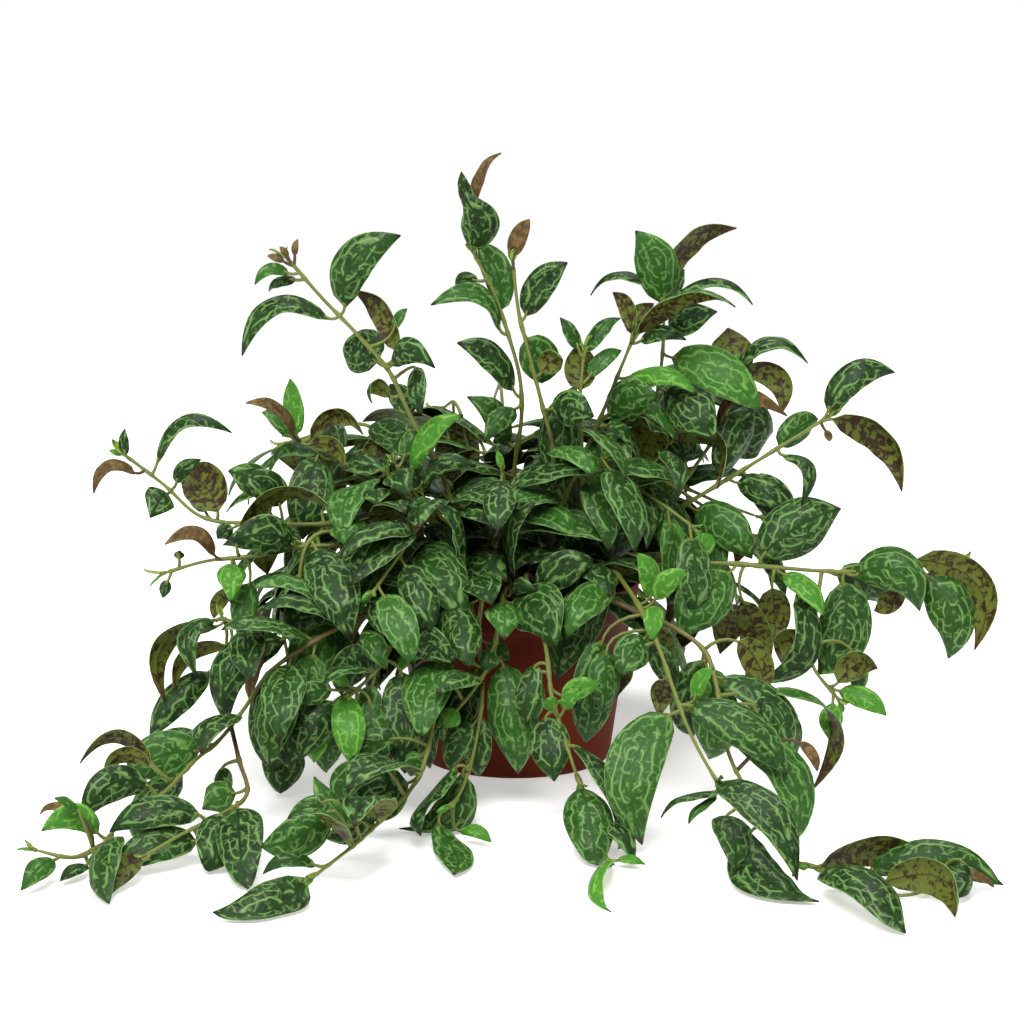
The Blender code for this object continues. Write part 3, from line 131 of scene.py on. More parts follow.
MARBLING_REACH = 0.54
INNER_SPACING = (0.05, 0.033)

# How young a leaf shows: unfolding ones are narrower than GROWN_UP
GROWN_UP = 0.024
UNFOLDING = (0.75, 1.0)
YOUNG = (0.3, 0.45)
MATURE = (0, 0.22)
MATURE_POWER = 1.3

# Buds at the stems' ends
BUD_LENGTH = (0.007, 0.013)
BUD_SPREAD = (0.25, 0.6)
BUD_LIFT = (-0.1, 0.35)
BUD_RUN = 0.9
BUD_ASPECT = 0.36
BUD_ARCH = 0.05
BUD_ROOT = 0.001
BUD_FOOT = 0.0015

# Fine stems and stalks
STEM_RING_STEP = 0.004
BARK_RADIUS = 0.0017
TWIG_SHARE = 0.8
SHOOT_RADIUS = 0.0009
SHOOT_END = 0.45
STEM_TUBE_SIDES = 10
STALK_RADII = (0.00125, 0.0008)
STALK_RINGS = 6
STALK_AHEAD = 0.004
STALK_YOUNG = 0.8
PETIOLE_SIDES = 6
NODE_SWELLING = 0.45
NODE_LENGTH = 0.003
TURN_MM = 8

# Numbers of the materials in a foliage piece, after the leaf's two sides
STEM_SKIN = 2
DRY_SKIN = 3

# Fine pot and soil
POT_TURNS = 128
FOOT_ROUND = 0.0022
LIP_ROUND = 0.0011
MOUTH_ROUND = 0.001
HOLE_SIDES = 24
SOIL_RINGS = 44
SOIL_TURNS = 120
SOIL_SHOULDER = 0.004
CHIP_COUNT = 420
CHIP_SMALLEST = (0.0012, 0.0008, 0.0004)
CHIP_LARGEST = (0.0060, 0.0032, 0.0014)
CHIP_LIFT = 0.0002

# Camera, light and floor
SENSOR = 36.0
SURROUND = 0.14
PAPER_GLOW = 0.4
FLOOR_REACH = 1.7

# Marbling, in mm: spacing of the arcs, size of the branches' cells, half width of a line
ARC_SPACING = 5.2
NET_CELL = 6.5
LINE_HALF = 1.15
ARC_BEND = 0.45
ARC_WANDER = 1.7
NET_STRENGTH = 0.6

# Shifts of the noise in mm, so that leaves and the two halves of a blade differ
OWN_SHIFT = 200.0
UNDER_SHIFT = 90.0
HALF_SHIFT = 37.0

# Colours, sRGB
LEAF_DARK = "11230a"
LEAF_MIDDLE = "1b3810"
LEAF_FRESH = "31621c"
LEAF_YOUNG = "3d7421"
NET_PALE = "7ba45a"
NET_YOUNG = "83b64e"
MARGIN_PALE = "86ab6a"
TIP_BROWN = "2c1d14"
STALK_GREEN = "66702c"
UNDER_OLIVE = "566020"
UNDER_YOUNG = "7f9a34"
UNDER_MOTTLE = "2c100c"
UNDER_MIDRIB = "241010"
UNDER_TIP = "40221a"
BARK_BROWN = "4b3522"
BARK_TAN = "6c5634"
BARK_DARK = "2e2419"
DRY_BROWN = "46351c"
DRY_TAN = "6f5a32"
POT_DARK = "4e1a0a"
POT_BROWN = "64240f"
POT_DUST = "7c4a38"
SOIL_DARK = "17100b"
SOIL_BROWN = "3a291b"
CHIP_TAN = "5f4229"
PAPER = "f8f8f6"

# Each entry: name, routes (the first is the stem, the others are its twigs), leaves.
# A route point is across, down, near. A leaf is kind, base across and down, tip across and down,
# seen width, how many millimetres nearer the tip is than the base, and how far the blade arches.
DRAWN_STEMS = [
    ("crown_left_stem", [
        [(512, 520, 6), (518, 436, 14), (524, 397, 20), (518, 371, 24), (508, 334, 26), (490, 283, 28),
         (473, 252, 30)],
    ], [
        ("dead", 474, 206, 497, 151, 11, -5, 0.06), ("top", 470, 212, 459, 173, 13, 0, 0.06),
        ("top", 479, 254, 462, 198, 38, 22, 0.20), ("top", 517, 316, 473, 250, 30, 20, 0.20),
        ("top", 507, 337, 435, 301, 17, 18, 0.32), ("top", 490, 281, 455, 289, 12, -12, 0.30),
        ("top", 515, 397, 460, 342, 26, 22, 0.16), ("top", 522, 401, 487, 436, 22, 32, 0.14),
        ("top", 508, 446, 476, 400, 26, 25, 0.12),
    ]),
    ("crown_middle_stem", [
        [(540, 530, 20), (555, 470, 28), (545, 420, 34), (538, 383, 36), (531, 361, 37), (519, 314, 36),
         (513, 263, 36)],
    ], [
        ("dead", 513, 256, 529, 220, 18, 0, 0.08), ("top", 526, 316, 566, 263, 28, 10, 0.12),
        ("top", 517, 330, 543, 387, 38, -14, 0.10), ("under", 532, 375, 566, 358, 24, 14, 0.18),
        ("top", 530, 414, 590, 416, 35, 26, 0.12), ("top", 505, 513, 603, 561, 34, 34, 0.16),
        ("top", 580, 505, 548, 468, 30, 22, 0.14),
    ]),
    ("crown_short_stem", [
        [(583, 515, 34), (582, 448, 40), (580, 399, 40), (584, 350, 36)],
    ], [
        ("under", 580, 397, 580, 343, 31, -10, 0.10), ("top", 582, 352, 562, 317, 13, -6, 0.06),
        ("top", 585, 352, 617, 314, 14, -8, 0.08), ("top", 584, 386, 621, 350, 15, -10, 0.12),
        ("top", 612, 560, 610, 487, 54, -14, 0.12),
    ]),
    ("crown_arching_stem", [
        [(578, 500, 2), (587, 448, 8), (597, 426, 12), (618, 375, 16), (634, 336, 18)],
    ], [
        ("under", 634, 334, 652, 306, 20, -20, 0.12), ("under", 632, 334, 615, 293, 17, -20, 0.12),
        ("under", 638, 334, 734, 296, 14, 34, 0.16), ("top", 636, 344, 682, 336, 15, 16, 0.16),
        ("young", 620, 378, 694, 384, 18, 22, 0.14), ("top", 600, 426, 676, 438, 15, 16, 0.36),
        ("top", 604, 420, 656, 396, 38, 26, 0.12), ("top", 596, 436, 628, 470, 34, 34, 0.14),
    ]),
    ("crown_right_stem", [
        [(620, 505, -8), (646, 448, 2), (657, 395, 8), (662, 361, 10), (664, 303, 12)],
    ], [
        ("top", 661, 303, 637, 235, 42, 16, 0.10), ("under", 665, 283, 729, 224, 20, -22, 0.14),
        ("top", 664, 302, 684, 265, 20, -10, 0.10), ("top", 650, 286, 590, 288, 8, -5, 0.22),
        ("top", 676, 296, 753, 297, 7, 0, 0.22), ("top", 661, 335, 712, 314, 30, 22, 0.12),
        ("young", 667, 355, 759, 407, 42, 26, 0.14), ("top", 660, 382, 711, 437, 48, 38, 0.14),
        ("under", 662, 440, 726, 480, 18, 14, 0.36),
    ]),
    ("upper_left_stem", [
        [(455, 520, 36), (431, 451, 46), (416, 427, 48), (394, 380, 48), (382, 361, 48), (341, 318, 48),
         (302, 276, 46), (288, 259, 46)],
    ], [
        ("dead", 290, 263, 297, 240, 6, 0, 0.08), ("dead", 289, 262, 280, 247, 6, 0, 0.08),
        ("dead", 288, 262, 268, 256, 7, 0, 0.10), ("top", 299, 273, 255, 282, 11, 5, 0.28),
        ("top", 300, 277, 266, 288, 9, -14, 0.12), ("top", 335, 321, 241, 352, 18, 14, 0.34),
        ("top", 343, 312, 399, 236, 38, 10, 0.26), ("top", 382, 363, 338, 344, 46, -34, 0.12),
        ("under", 397, 351, 361, 288, 21, -12, 0.10), ("top", 395, 328, 406, 309, 9, 0, 0.10),
        ("top", 384, 363, 432, 368, 26, 24, 0.34), ("top", 416, 367, 418, 413, 18, 18, 0.14),
        ("top", 412, 426, 389, 383, 22, -14, 0.12), ("under", 390, 397, 366, 399, 13, 24, 0.30),
    ]),
    ("left_brown_stem", [
        [(420, 530, 10), (372, 485, 18), (330, 455, 24), (294, 437, 26)],
    ], [
        ("young", 296, 435, 289, 379, 20, -8, 0.10), ("dead", 294, 437, 252, 400, 12, 0, 0.12),
        ("top", 290, 437, 262, 407, 18, -20, 0.14), ("under", 298, 435, 364, 431, 15, 10, 0.38),
        ("under", 294, 443, 345, 468, 15, 15, 0.30), ("under", 363, 502, 384, 437, 27, -16, 0.12),
        ("top", 317, 457, 303, 538, 38, 20, 0.12), ("top", 360, 506, 404, 557, 30, 34, 0.26),
        ("top", 340, 462, 322, 420, 30, -22, 0.12), ("top", 338, 458, 264, 470, 15, 10, 0.30),
    ]),
    ("inner_left_stem", [
        [(470, 545, 26), (430, 510, 40), (404, 480, 46), (394, 462, 48)],
    ], [
        ("young", 404, 480, 456, 414, 15, -8, 0.14), ("top", 394, 500, 472, 464, 17, 12, 0.26),
        ("top", 441, 520, 516, 503, 24, 20, 0.34), ("top", 396, 464, 425, 428, 20, -12, 0.14),
    ]),
    ("left_long_stem", [
        [(430, 545, 22), (377, 527, 38), (283, 524, 48), (220, 521, 47), (191, 512, 44), (166, 487, 42),
         (150, 470, 42), (125, 455, 42)],
    ], [
        ("top", 157, 464, 230, 429, 11, -8, 0.34), ("dead", 145, 473, 93, 490, 12, 10, 0.34),
        ("top", 125, 455, 123, 430, 9, 0, 0.10), ("top", 186, 468, 153, 514, 30, 34, 0.16),
        ("under", 218, 512, 180, 472, 42, -26, 0.12), ("top", 207, 516, 189, 486, 19, -20, 0.12),
        ("top", 172, 487, 198, 461, 14, 5, 0.16), ("top", 268, 494, 230, 472, 30, 10, 0.12),
        ("top", 280, 506, 246, 476, 32, 8, 0.14), ("top", 284, 502, 248, 520, 22, 10, 0.12),
        ("top", 240, 518, 218, 538, 16, 6, 0.12),
    ]),
    ("left_middle_stem", [
        [(460, 585, 50), (400, 554, 64), (315, 546, 70), (232, 560, 68), (207, 561, 66), (178, 573, 64),
         (164, 573, 64)],
    ], [
        ("dead", 223, 558, 167, 541, 15, 5, 0.34), ("under", 238, 534, 333, 502, 13, 0, 0.26),
        ("top", 300, 548, 234, 541, 38, 28, 0.16), ("top", 404, 550, 462, 610, 58, 34, 0.14),
        ("young", 235, 562, 231, 594, 28, 36, 0.14), ("top", 180, 572, 180, 551, 9, 0, 0.10),
        ("top", 166, 573, 163, 597, 10, 8, 0.12), ("top", 250, 583, 240, 635, 26, 26, 0.14),
        ("top", 376, 588, 298, 590, 34, 20, 0.24), ("under", 232, 590, 214, 618, 14, 4, 0.14),
    ]),
    ("left_front_stem", [
        [(440, 600, 66), (360, 612, 94), (290, 622, 104), (240, 622, 102), (222, 618, 100)],
    ], [
        ("under", 222, 617, 157, 694, 17, 10, 0.32), ("top", 215, 620, 193, 669, 20, 28, 0.32),
        ("under", 226, 646, 171, 686, 15, 10, 0.25), ("top", 210, 672, 148, 737, 30, 20, 0.14),
        ("top", 286, 640, 224, 721, 38, 20, 0.30), ("top", 350, 642, 296, 682, 56, 40, 0.20),
        ("top", 340, 600, 284, 630, 40, 20, 0.14), ("top", 290, 668, 274, 772, 56, 18, 0.12),
        ("top", 290, 735, 282, 813, 44, -8, 0.12), ("top", 238, 720, 239, 784, 32, 30, 0.12),
        ("dead", 262, 660, 246, 692, 15, 0, 0.12),
    ]),
    ("floor_left_stem", [
        [(425, 590, 78), (380, 608, 106), (300, 650, 128), (263, 679, 138), (233, 726, 158),
         (192, 763, 184), (153, 802, 212), (106, 832, 236), (98, 850, 244)],
        [(233, 726, 158), (240, 765, 176), (245, 800, 200), (203, 822, 226), (143, 857, 256)],
        [(98, 850, 244), (80, 857, 252), (35, 850, 256)],
    ], [
        ("top", 208, 742, 125, 776, 44, 10, 0.14), ("top", 212, 740, 155, 741, 16, -10, 0.14),
        ("under", 151, 762, 80, 760, 13, 8, 0.36), ("under", 150, 765, 102, 772, 13, 14, 0.30),
        ("top", 150, 787, 84, 821, 34, 24, 0.30), ("young", 98, 834, 44, 831, 25, 10, 0.34),
        ("top", 80, 815, 57, 797, 9, 0, 0.10), ("dead", 75, 812, 39, 811, 6, 0, 0.10),
        ("top", 112, 838, 101, 905, 30, 55, 0.14), ("top", 61, 853, 25, 886, 22, 32, 0.14),
        ("top", 88, 866, 61, 882, 12, 20, 0.14), ("under", 143, 861, 102, 904, 30, 42, 0.20),
        ("top", 197, 842, 114, 868, 34, 26, 0.14), ("top", 200, 815, 110, 828, 30, 14, 0.16),
        ("top", 236, 812, 211, 874, 44, 42, 0.14), ("top", 222, 767, 224, 802, 17, 20, 0.12),
        ("top", 254, 824, 251, 897, 34, 72, 0.14), ("top", 276, 784, 205, 808, 32, 14, 0.14),
    ]),
    ("floor_front_stem", [
        [(455, 588, 76), (440, 640, 112), (436, 700, 140), (421, 772, 180), (372, 829, 240),
         (313, 877, 306)],
    ], [
        ("top", 313, 878, 214, 912, 54, 28, -0.20), ("top", 326, 866, 264, 868, 13, 6, 0.16),
        ("top", 368, 827, 318, 774, 22, -6, -0.20), ("top", 372, 812, 326, 838, 26, 8, -0.10),
        ("top", 420, 778, 352, 820, 50, 10, 0.12), ("under", 424, 792, 368, 841, 22, 4, -0.20),
        ("top", 326, 812, 262, 846, 40, 16, -0.12), ("top", 326, 800, 291, 832, 24, 6, 0.12),
        ("top", 396, 738, 348, 763, 30, -4, 0.12), ("top", 362, 764, 338, 802, 28, -4, 0.12),
        ("top", 408, 738, 410, 778, 22, -4, 0.12),
    ]),
    ("front_left_fall_stem", [
        [(482, 586, 52), (446, 594, 84), (412, 614, 108), (395, 640, 120), (382, 664, 128),
         (352, 694, 140)],
    ], [
        ("top", 402, 672, 405, 772, 44, 28, 0.12), ("young", 345, 695, 351, 762, 31, 22, 0.12),
        ("top", 332, 690, 296, 703, 22, 10, 0.14), ("young", 352, 694, 329, 677, 11, 4, 0.12),
        ("top", 395, 632, 453, 662, 32, 28, 0.16), ("top", 362, 632, 384, 665, 23, 24, 0.12),
        ("top", 368, 600, 391, 637, 25, 20, 0.12), ("top", 336, 702, 300, 760, 34, 16, 0.14),
        ("top", 372, 652, 340, 696, 34, -12, 0.14), ("top", 370, 700, 372, 775, 34, 10, 0.12),
        ("young", 322, 718, 314, 762, 22, 8, 0.12), ("top", 344, 728, 325, 776, 26, -6, 0.12),
    ]),
    ("front_fall_stem", [
        [(505, 590, 62), (498, 630, 96), (488, 668, 118), (463, 701, 132), (451, 716, 138)],
    ], [
        ("young", 482, 665, 396, 671, 20, 10, 0.36), ("top", 503, 663, 518, 773, 48, 22, 0.12),
        ("young", 463, 701, 445, 728, 20, 12, 0.12), ("top", 440, 682, 407, 767, 27, 16, 0.14),
        ("top", 480, 592, 549, 643, 54, 42, 0.24), ("top", 470, 582, 532, 590, 16, 24, 0.20),
        ("top", 512, 640, 486, 672, 20, 10, 0.12),
    ]),
    ("front_middle_fall_stem", [
        [(482, 600, 80), (480, 650, 100), (482, 699, 126), (470, 768, 166), (452, 806, 190)],
    ], [
        ("top", 474, 768, 402, 833, 40, 20, -0.30), ("top", 456, 766, 412, 823, 28, 24, -0.12),
        ("young", 460, 832, 490, 842, 12, 10, 0.20), ("top", 438, 822, 456, 876, 30, 50, -0.14),
        ("top", 477, 716, 450, 770, 28, 8, 0.14), ("top", 480, 706, 478, 778, 26, 0, 0.12),
        ("top", 484, 636, 508, 660, 16, 14, 0.14),
    ]),
    ("front_right_fall_stem", [
        [(526, 575, 70), (538, 615, 96), (546, 648, 114), (553, 703, 138), (561, 728, 150),
         (579, 782, 178)],
        [(579, 782, 178), (598, 828, 208), (608, 864, 236)],
    ], [
        ("young", 555, 700, 599, 686, 20, 5, 0.16), ("young", 556, 722, 546, 700, 14, 8, 0.10),
        ("young", 560, 718, 580, 690, 13, 5, 0.10), ("top", 545, 717, 553, 779, 38, 20, 0.12),
        ("top", 580, 780, 597, 868, 48, 48, 0.12), ("top", 576, 746, 634, 852, 36, 34, 0.16),
        ("young", 610, 864, 644, 865, 9, 6, 0.14), ("young", 608, 866, 589, 911, 10, 22, 0.10),
        ("top", 606, 812, 630, 860, 20, 34, 0.14), ("top", 536, 664, 524, 722, 22, 14, 0.12),
        ("top", 545, 598, 568, 628, 22, 20, 0.14), ("top", 540, 590, 592, 560, 34, 4, 0.14),
        ("top", 534, 676, 534, 720, 20, 4, 0.12), ("top", 556, 690, 578, 710, 12, 2, 0.12),
    ]),
    ("right_fall_stem", [
        [(587, 562, 44), (622, 582, 84), (651, 629, 126), (677, 699, 174), (691, 735, 204),
         (716, 780, 246)],
    ], [
        ("top", 600, 568, 556, 676, 58, 30, 0.14), ("top", 648, 632, 621, 674, 36, 26, 0.14),
        ("young", 650, 598, 639, 556, 21, 12, 0.12), ("young", 655, 600, 686, 572, 20, 10, 0.12),
        ("young", 655, 606, 652, 638, 19, 22, 0.12), ("top", 602, 640, 588, 744, 40, 8, 0.14),
        ("top", 606, 650, 604, 712, 32, -8, 0.12), ("top", 646, 640, 674, 694, 26, 4, 0.12),
        ("under", 690, 594, 667, 668, 26, -10, 0.12), ("under", 682, 664, 660, 712, 22, -14, 0.12),
        ("under", 628, 656, 620, 692, 20, -16, 0.12), ("top", 671, 714, 640, 838, 54, 38, 0.20),
        ("top", 687, 705, 789, 771, 40, 20, 0.14), ("top", 716, 776, 800, 862, 38, 62, 0.12),
        ("young", 696, 698, 712, 669, 15, 6, 0.12), ("top", 718, 792, 660, 806, 6, 10, 0.05),
        ("top", 716, 796, 687, 819, 7, 14, 0.05),
    ]),
    ("floor_right_stem", [
        [(560, 575, 60), (610, 600, 84), (702, 648, 118), (718, 692, 140), (724, 737, 162),
         (740, 778, 205), (768, 822, 240), (795, 866, 285)],
        [(795, 866, 285), (850, 877, 262), (904, 896, 286), (938, 887, 280)],
    ], [
        ("top", 750, 832, 817, 904, 46, 40, -0.20), ("top", 726, 816, 737, 867, 33, 42, 0.14),
        ("top", 716, 668, 790, 771, 30, 18, 0.26), ("top", 734, 737, 798, 841, 38, 30, 0.24),
        ("top", 768, 692, 820, 780, 17, 2, 0.30), ("dead", 800, 742, 818, 770, 11, 6, 0.14),
        ("top", 718, 652, 712, 766, 44, -10, 0.12), ("top", 702, 650, 694, 740, 38, -16, 0.12),
        ("under", 738, 641, 764, 692, 28, 4, 0.14), ("top", 712, 672, 690, 700, 18, 4, -0.14),
        ("top", 752, 704, 796, 766, 24, -24, 0.16), ("top", 812, 868, 905, 934, 38, 46, 0.17),
        ("under", 812, 860, 934, 868, 26, -14, 0.14), ("top", 868, 872, 1000, 902, 13, -8, 0.20),
        ("under", 885, 882, 958, 918, 33, 10, 0.28), ("top", 938, 886, 953, 903, 19, 6, 0.36),
        ("top", 962, 860, 953, 902, 15, 10, -0.2), ("dead", 950, 878, 995, 888, 8, -4, 0.14),
    ]),
    ("right_long_stem", [
        [(575, 585, 26), (638, 568, 46), (710, 563, 56), (824, 571, 62), (871, 571, 60), (914, 564, 58),
         (946, 563, 57), (960, 561, 57)],
        [(824, 571, 62), (815, 620, 76), (812, 665, 84), (822, 682, 88), (838, 699, 92)],
    ], [
        ("young", 684, 560, 656, 520, 26, -8, 0.12), ("young", 690, 560, 714, 536, 20, -8, 0.12),
        ("top", 739, 562, 683, 636, 52, 28, 0.12), ("top", 762, 556, 842, 508, 54, -10, 0.10),
        ("young", 772, 571, 825, 613, 20, 20, 0.14), ("top", 842, 567, 818, 674, 50, 16, -0.14),
        ("top", 843, 565, 918, 610, 44, 16, 0.38), ("under", 917, 559, 980, 648, 30, 14, 0.33),
        ("young", 924, 567, 948, 658, 45, 16, 0.20), ("top", 830, 575, 888, 607, 34, -20, 0.14),
        ("under", 772, 588, 775, 642, 30, -4, 0.12), ("top", 796, 594, 768, 685, 26, 16, -0.28),
        ("under", 816, 630, 782, 662, 36, -4, 0.12), ("top", 850, 648, 858, 696, 20, -10, 0.12),
        ("under", 902, 588, 874, 611, 20, 4, -0.12), ("top", 700, 572, 668, 606, 34, -6, 0.12),
        ("under", 826, 684, 878, 668, 28, 12, 0.26), ("young", 828, 684, 886, 714, 20, 14, 0.14),
        ("young", 838, 697, 830, 738, 22, 16, 0.14), ("under", 742, 600, 752, 690, 30, -12, 0.14),
    ]),
    ("right_rising_stem", [
        [(640, 535, 12), (683, 506, 22), (728, 479, 27), (770, 453, 30), (828, 417, 30)],
    ], [
        ("top", 828, 412, 893, 368, 28, -5, 0.22), ("under", 832, 419, 906, 486, 27, 10, 0.22),
        ("dead", 824, 420, 830, 441, 7, 0, 0.10), ("top", 832, 415, 848, 400, 6, 0, 0.10),
        ("top", 770, 452, 822, 418, 26, -10, 0.14), ("top", 781, 446, 806, 498, 14, 26, 0.34),
        ("top", 728, 481, 781, 507, 28, 22, 0.14), ("top", 692, 505, 750, 557, 40, 26, 0.14),
        ("top", 742, 470, 790, 530, 34, 12, 0.14),
    ]),
    ("right_inner_stem", [
        [(630, 535, -14), (662, 508, -6), (690, 470, 2), (714, 441, 8), (731, 400, 10), (736, 372, 11)],
    ], [
        ("top", 718, 448, 779, 430, 56, -28, 0.16), ("dead", 712, 441, 782, 410, 12, 5, 0.36),
        ("top", 738, 368, 806, 353, 13, 0, 0.26), ("under", 742, 372, 783, 413, 24, 10, 0.38),
        ("under", 734, 395, 728, 332, 40, -26, 0.14), ("top", 664, 506, 648, 450, 40, 20, 0.14),
        ("top", 690, 470, 668, 420, 30, -16, 0.14),
    ]),
]

# Stems that grow by rule, as groups: name, how many, first and last compass angle from the viewer's right,
# reach outward, rise above the soil and height of the end, all in metres.
GROWN_STEMS = [
    ("back_crown_stem", 4, 35, 150, 0.10, 0.15, 0.17),
    ("back_arching_stem", 5, 40, 140, 0.17, 0.10, 0.11),
    ("back_trailing_stem", 6, 28, 152, 0.17, 0.055, 0.03),
    ("inner_stem", 7, 0, 308, 0.085, 0.12, 0.18),
    ("left_side_stem", 6, 165, 235, 0.15, 0.06, 0.07),
    ("right_side_stem", 3, -35, 12, 0.15, 0.07, 0.09),
]
# Stretches of the front drawing full of leaves: the middle's across and down, half width and half height
DENSE = [(440, 530, 190, 110), (270, 600, 90, 150), (640, 480, 110, 90), (360, 740, 90, 90)]
# Outline of the plant's mass in the front drawing, which grown leaves stay inside
OUTLINE = [
    (220, 530), (228, 465), (260, 440), (300, 420), (360, 400), (400, 420), (455, 430), (530, 435),
    (560, 390), (600, 410), (640, 350), (700, 320), (740, 350), (770, 400), (735, 440), (700, 490),
    (745, 530), (790, 560), (820, 600), (810, 660), (790, 720), (740, 720), (690, 720), (640, 690),
    (606, 700), (596, 768), (486, 772), (440, 830), (330, 850), (230, 880), (130, 860), (90, 830),
    (170, 750), (215, 690), (215, 640), (210, 590),
]
# The stretch where the pot shows between the leaves: from and to across, and from which height down
SHOWN_POT = (480, 640, 640)
GROWN_SEED = 41
PAIR_SPACING = 0.044
PAIR_LEAN = math.radians(58)
LEAF_LENGTH = (0.052, 0.070)
SAG = 0.21
TIP_SAG = 1.2
GROWN_PETIOLE = 0.0075
GROWN_FULLER = 1.04
GROWN_ARCH = 0.14
LEAF_OUTWARD = 0.7
LEAF_APART = 0.15
FIRST_PAIR_RISE = 0.016
LAST_PAIR = 0.985
END_LEAF_SIZE = 0.8

# Grown stems: how an arc bows out of the pot and how far above the surface it ends
BOW_FOOT = 0.011
BOW_SPREAD = 0.9
BOW_END = 0.75
UPRIGHT_FROM = 0.05
FLOOR_GAP = 0.012

# Drawn leaves: how their petioles start, and how later tries for a free place shift and turn them
FOOT_CLEAR = 0.012
SPOTS_BETWEEN = 6
DEPTH_SHARE = 0.15
FIRST_NEAR = 60
BASE_NEARER = 1.5
SHORTEST_PETIOLE = 0.0045
DRAWN_PETIOLE = 0.0065
DRAWN_OUTWARD = 0.4
FULL_ROWS_FROM = 20
SLACK_TRIES = 40
SLACK_STEP = 0.9
DRIFT_FROM = 30
DRIFT_STEP = 0.35
SPIN_STEP = 0.014
LOOSE_STEP = 0.05
SHRINK_STEP = 0.01
DRAWN_TRIES = 90
GROWN_TRIES = 14
STEM_TRIES = 160
STEM_SHIFT_STEP = 0.0004
LEAF_POT_GAP = 0.0015
PROBED = (0.0, 0.3, 0.6, 0.85)
OUTLINE_PROBED = (0.3, 0.7, 1.0)
LINE_PROBED = (0.25, 0.5, 0.75, 1.0)
DEPTH_JITTER = 0.25
BEHIND = 0.008
SAME_NODE = 0.011
NODE_TURN = 0.3
UPRIGHT = 0.1
TWIG_SEED = 100
INNER_SEED = 1000

# How much the grown stems of a group differ: degrees, and shares of reach, rise and height of the end
ANGLE_SPREAD = (-8, 8)
REACH_SPREAD = (0.82, 1.15)
RISE_SPREAD = (0.85, 1.15)
END_SPREAD = (0.9, 1.1)


def place(across, down, near):
    """Point on the sight line through a sheet point, `near` millimetres before the pot's axis.

    A line that would pass below the resting height by then stops where it reaches that height.
    """
    line = EYE_AHEAD * SHEET_DISTANCE + EYE_RIGHT * (across - SHEET_CENTRE) - EYE_UP * (down - SHEET_CENTRE)
    point = EYE + line * ((-near * MM - EYE.y) / line.y)
    if point.z < LOWEST:
        point = EYE + line * ((LOWEST - EYE.z) / line.z)
    return point


def sheet_scale(point):
    """Metres for one sheet unit at a point's distance."""
    return (point - EYE).dot(EYE_AHEAD) / SHEET_DISTANCE


def smooth_line(points, step, before=None):
    """Smooth curve through the points, cut at nearly even steps. It may go on from a point before."""
    ends = [before or points[0] * 2 - points[1]] + list(points) + [points[-1] * 2 - points[-2]]
    ways = [(b - a).normalized() for a, b in zip(ends, ends[1:])]
    runs = [(a + b).normalized() for a, b in zip(ways, ways[1:])]
    fine = []
    for a, b, run_a, run_b in zip(points, points[1:], runs, runs[1:]):
        span = (b - a).length
        for k in range(FINE_STEPS):
            t = k / FINE_STEPS
            point = a * (2 * t**3 - 3 * t**2 + 1) + b * (3 * t**2 - 2 * t**3)
            fine.append(point + run_a * (span * (t**3 - 2 * t**2 + t)) + run_b * (span * (t**3 - t**2)))
    fine.append(points[-1].copy())
    length = sum((q - p).length for p, q in zip(fine, fine[1:]))
    pieces = max(2, round(length / step))
    line, passed, wanted = [fine[0]], 0.0, length / pieces
    for p, q in zip(fine, fine[1:]):
        span = (q - p).length
        while passed + span >= wanted - 1e-9 and len(line) < pieces:
            line.append(p.lerp(q, (wanted - passed) / span))
            wanted += length / pieces
        passed += span
    line.append(fine[-1])
    return line


def pot_outer_radius(height):
    """Outer radius of the pot's wall at a height, with its rim band."""
    radius = POT_BASE_RADIUS + (POT_MOUTH_RADIUS - POT_BASE_RADIUS) * height / POT_HEIGHT
    return radius + (RIM_BAND_STEP if height > POT_HEIGHT - RIM_BAND_HEIGHT - RIM_BAND_EDGE else 0)


def clear_of_pot(point, gap):
    """Whether a point keeps `gap` to the pot and the soil."""
    radius = math.hypot(point.x, point.y)
    if point.z > POT_HEIGHT + gap or radius > pot_outer_radius(point.z) + gap:
        return True
    inside = pot_outer_radius(point.z) - RIM_BAND_STEP - POT_WALL - gap
    return radius < inside and point.z > SOIL_TOP + SOIL_DOME + gap


def pot_and_soil():
    """Vertices and faces of the filled pot, grown by the gap that stems and leaves keep."""
    band, bed = POT_HEIGHT - RIM_BAND_HEIGHT, SOIL_TOP + SOIL_DOME * DOME_SHARE + CLEAR
    inner = POT_MOUTH_RADIUS - POT_WALL - CLEAR
    profile = [
        (0, -CLEAR),
        (POT_BASE_RADIUS + CLEAR, -CLEAR),
        (pot_outer_radius(band - BAND_RUN_IN) + CLEAR, band - BAND_RUN_IN - CLEAR),
        (pot_outer_radius(band) + CLEAR, band - CLEAR),
        (pot_outer_radius(POT_HEIGHT) + CLEAR, POT_HEIGHT + CLEAR),
        (inner, POT_HEIGHT + CLEAR),
        (inner, bed),
        (0, bed),
    ]
    return turned(profile, POT_SIDES)


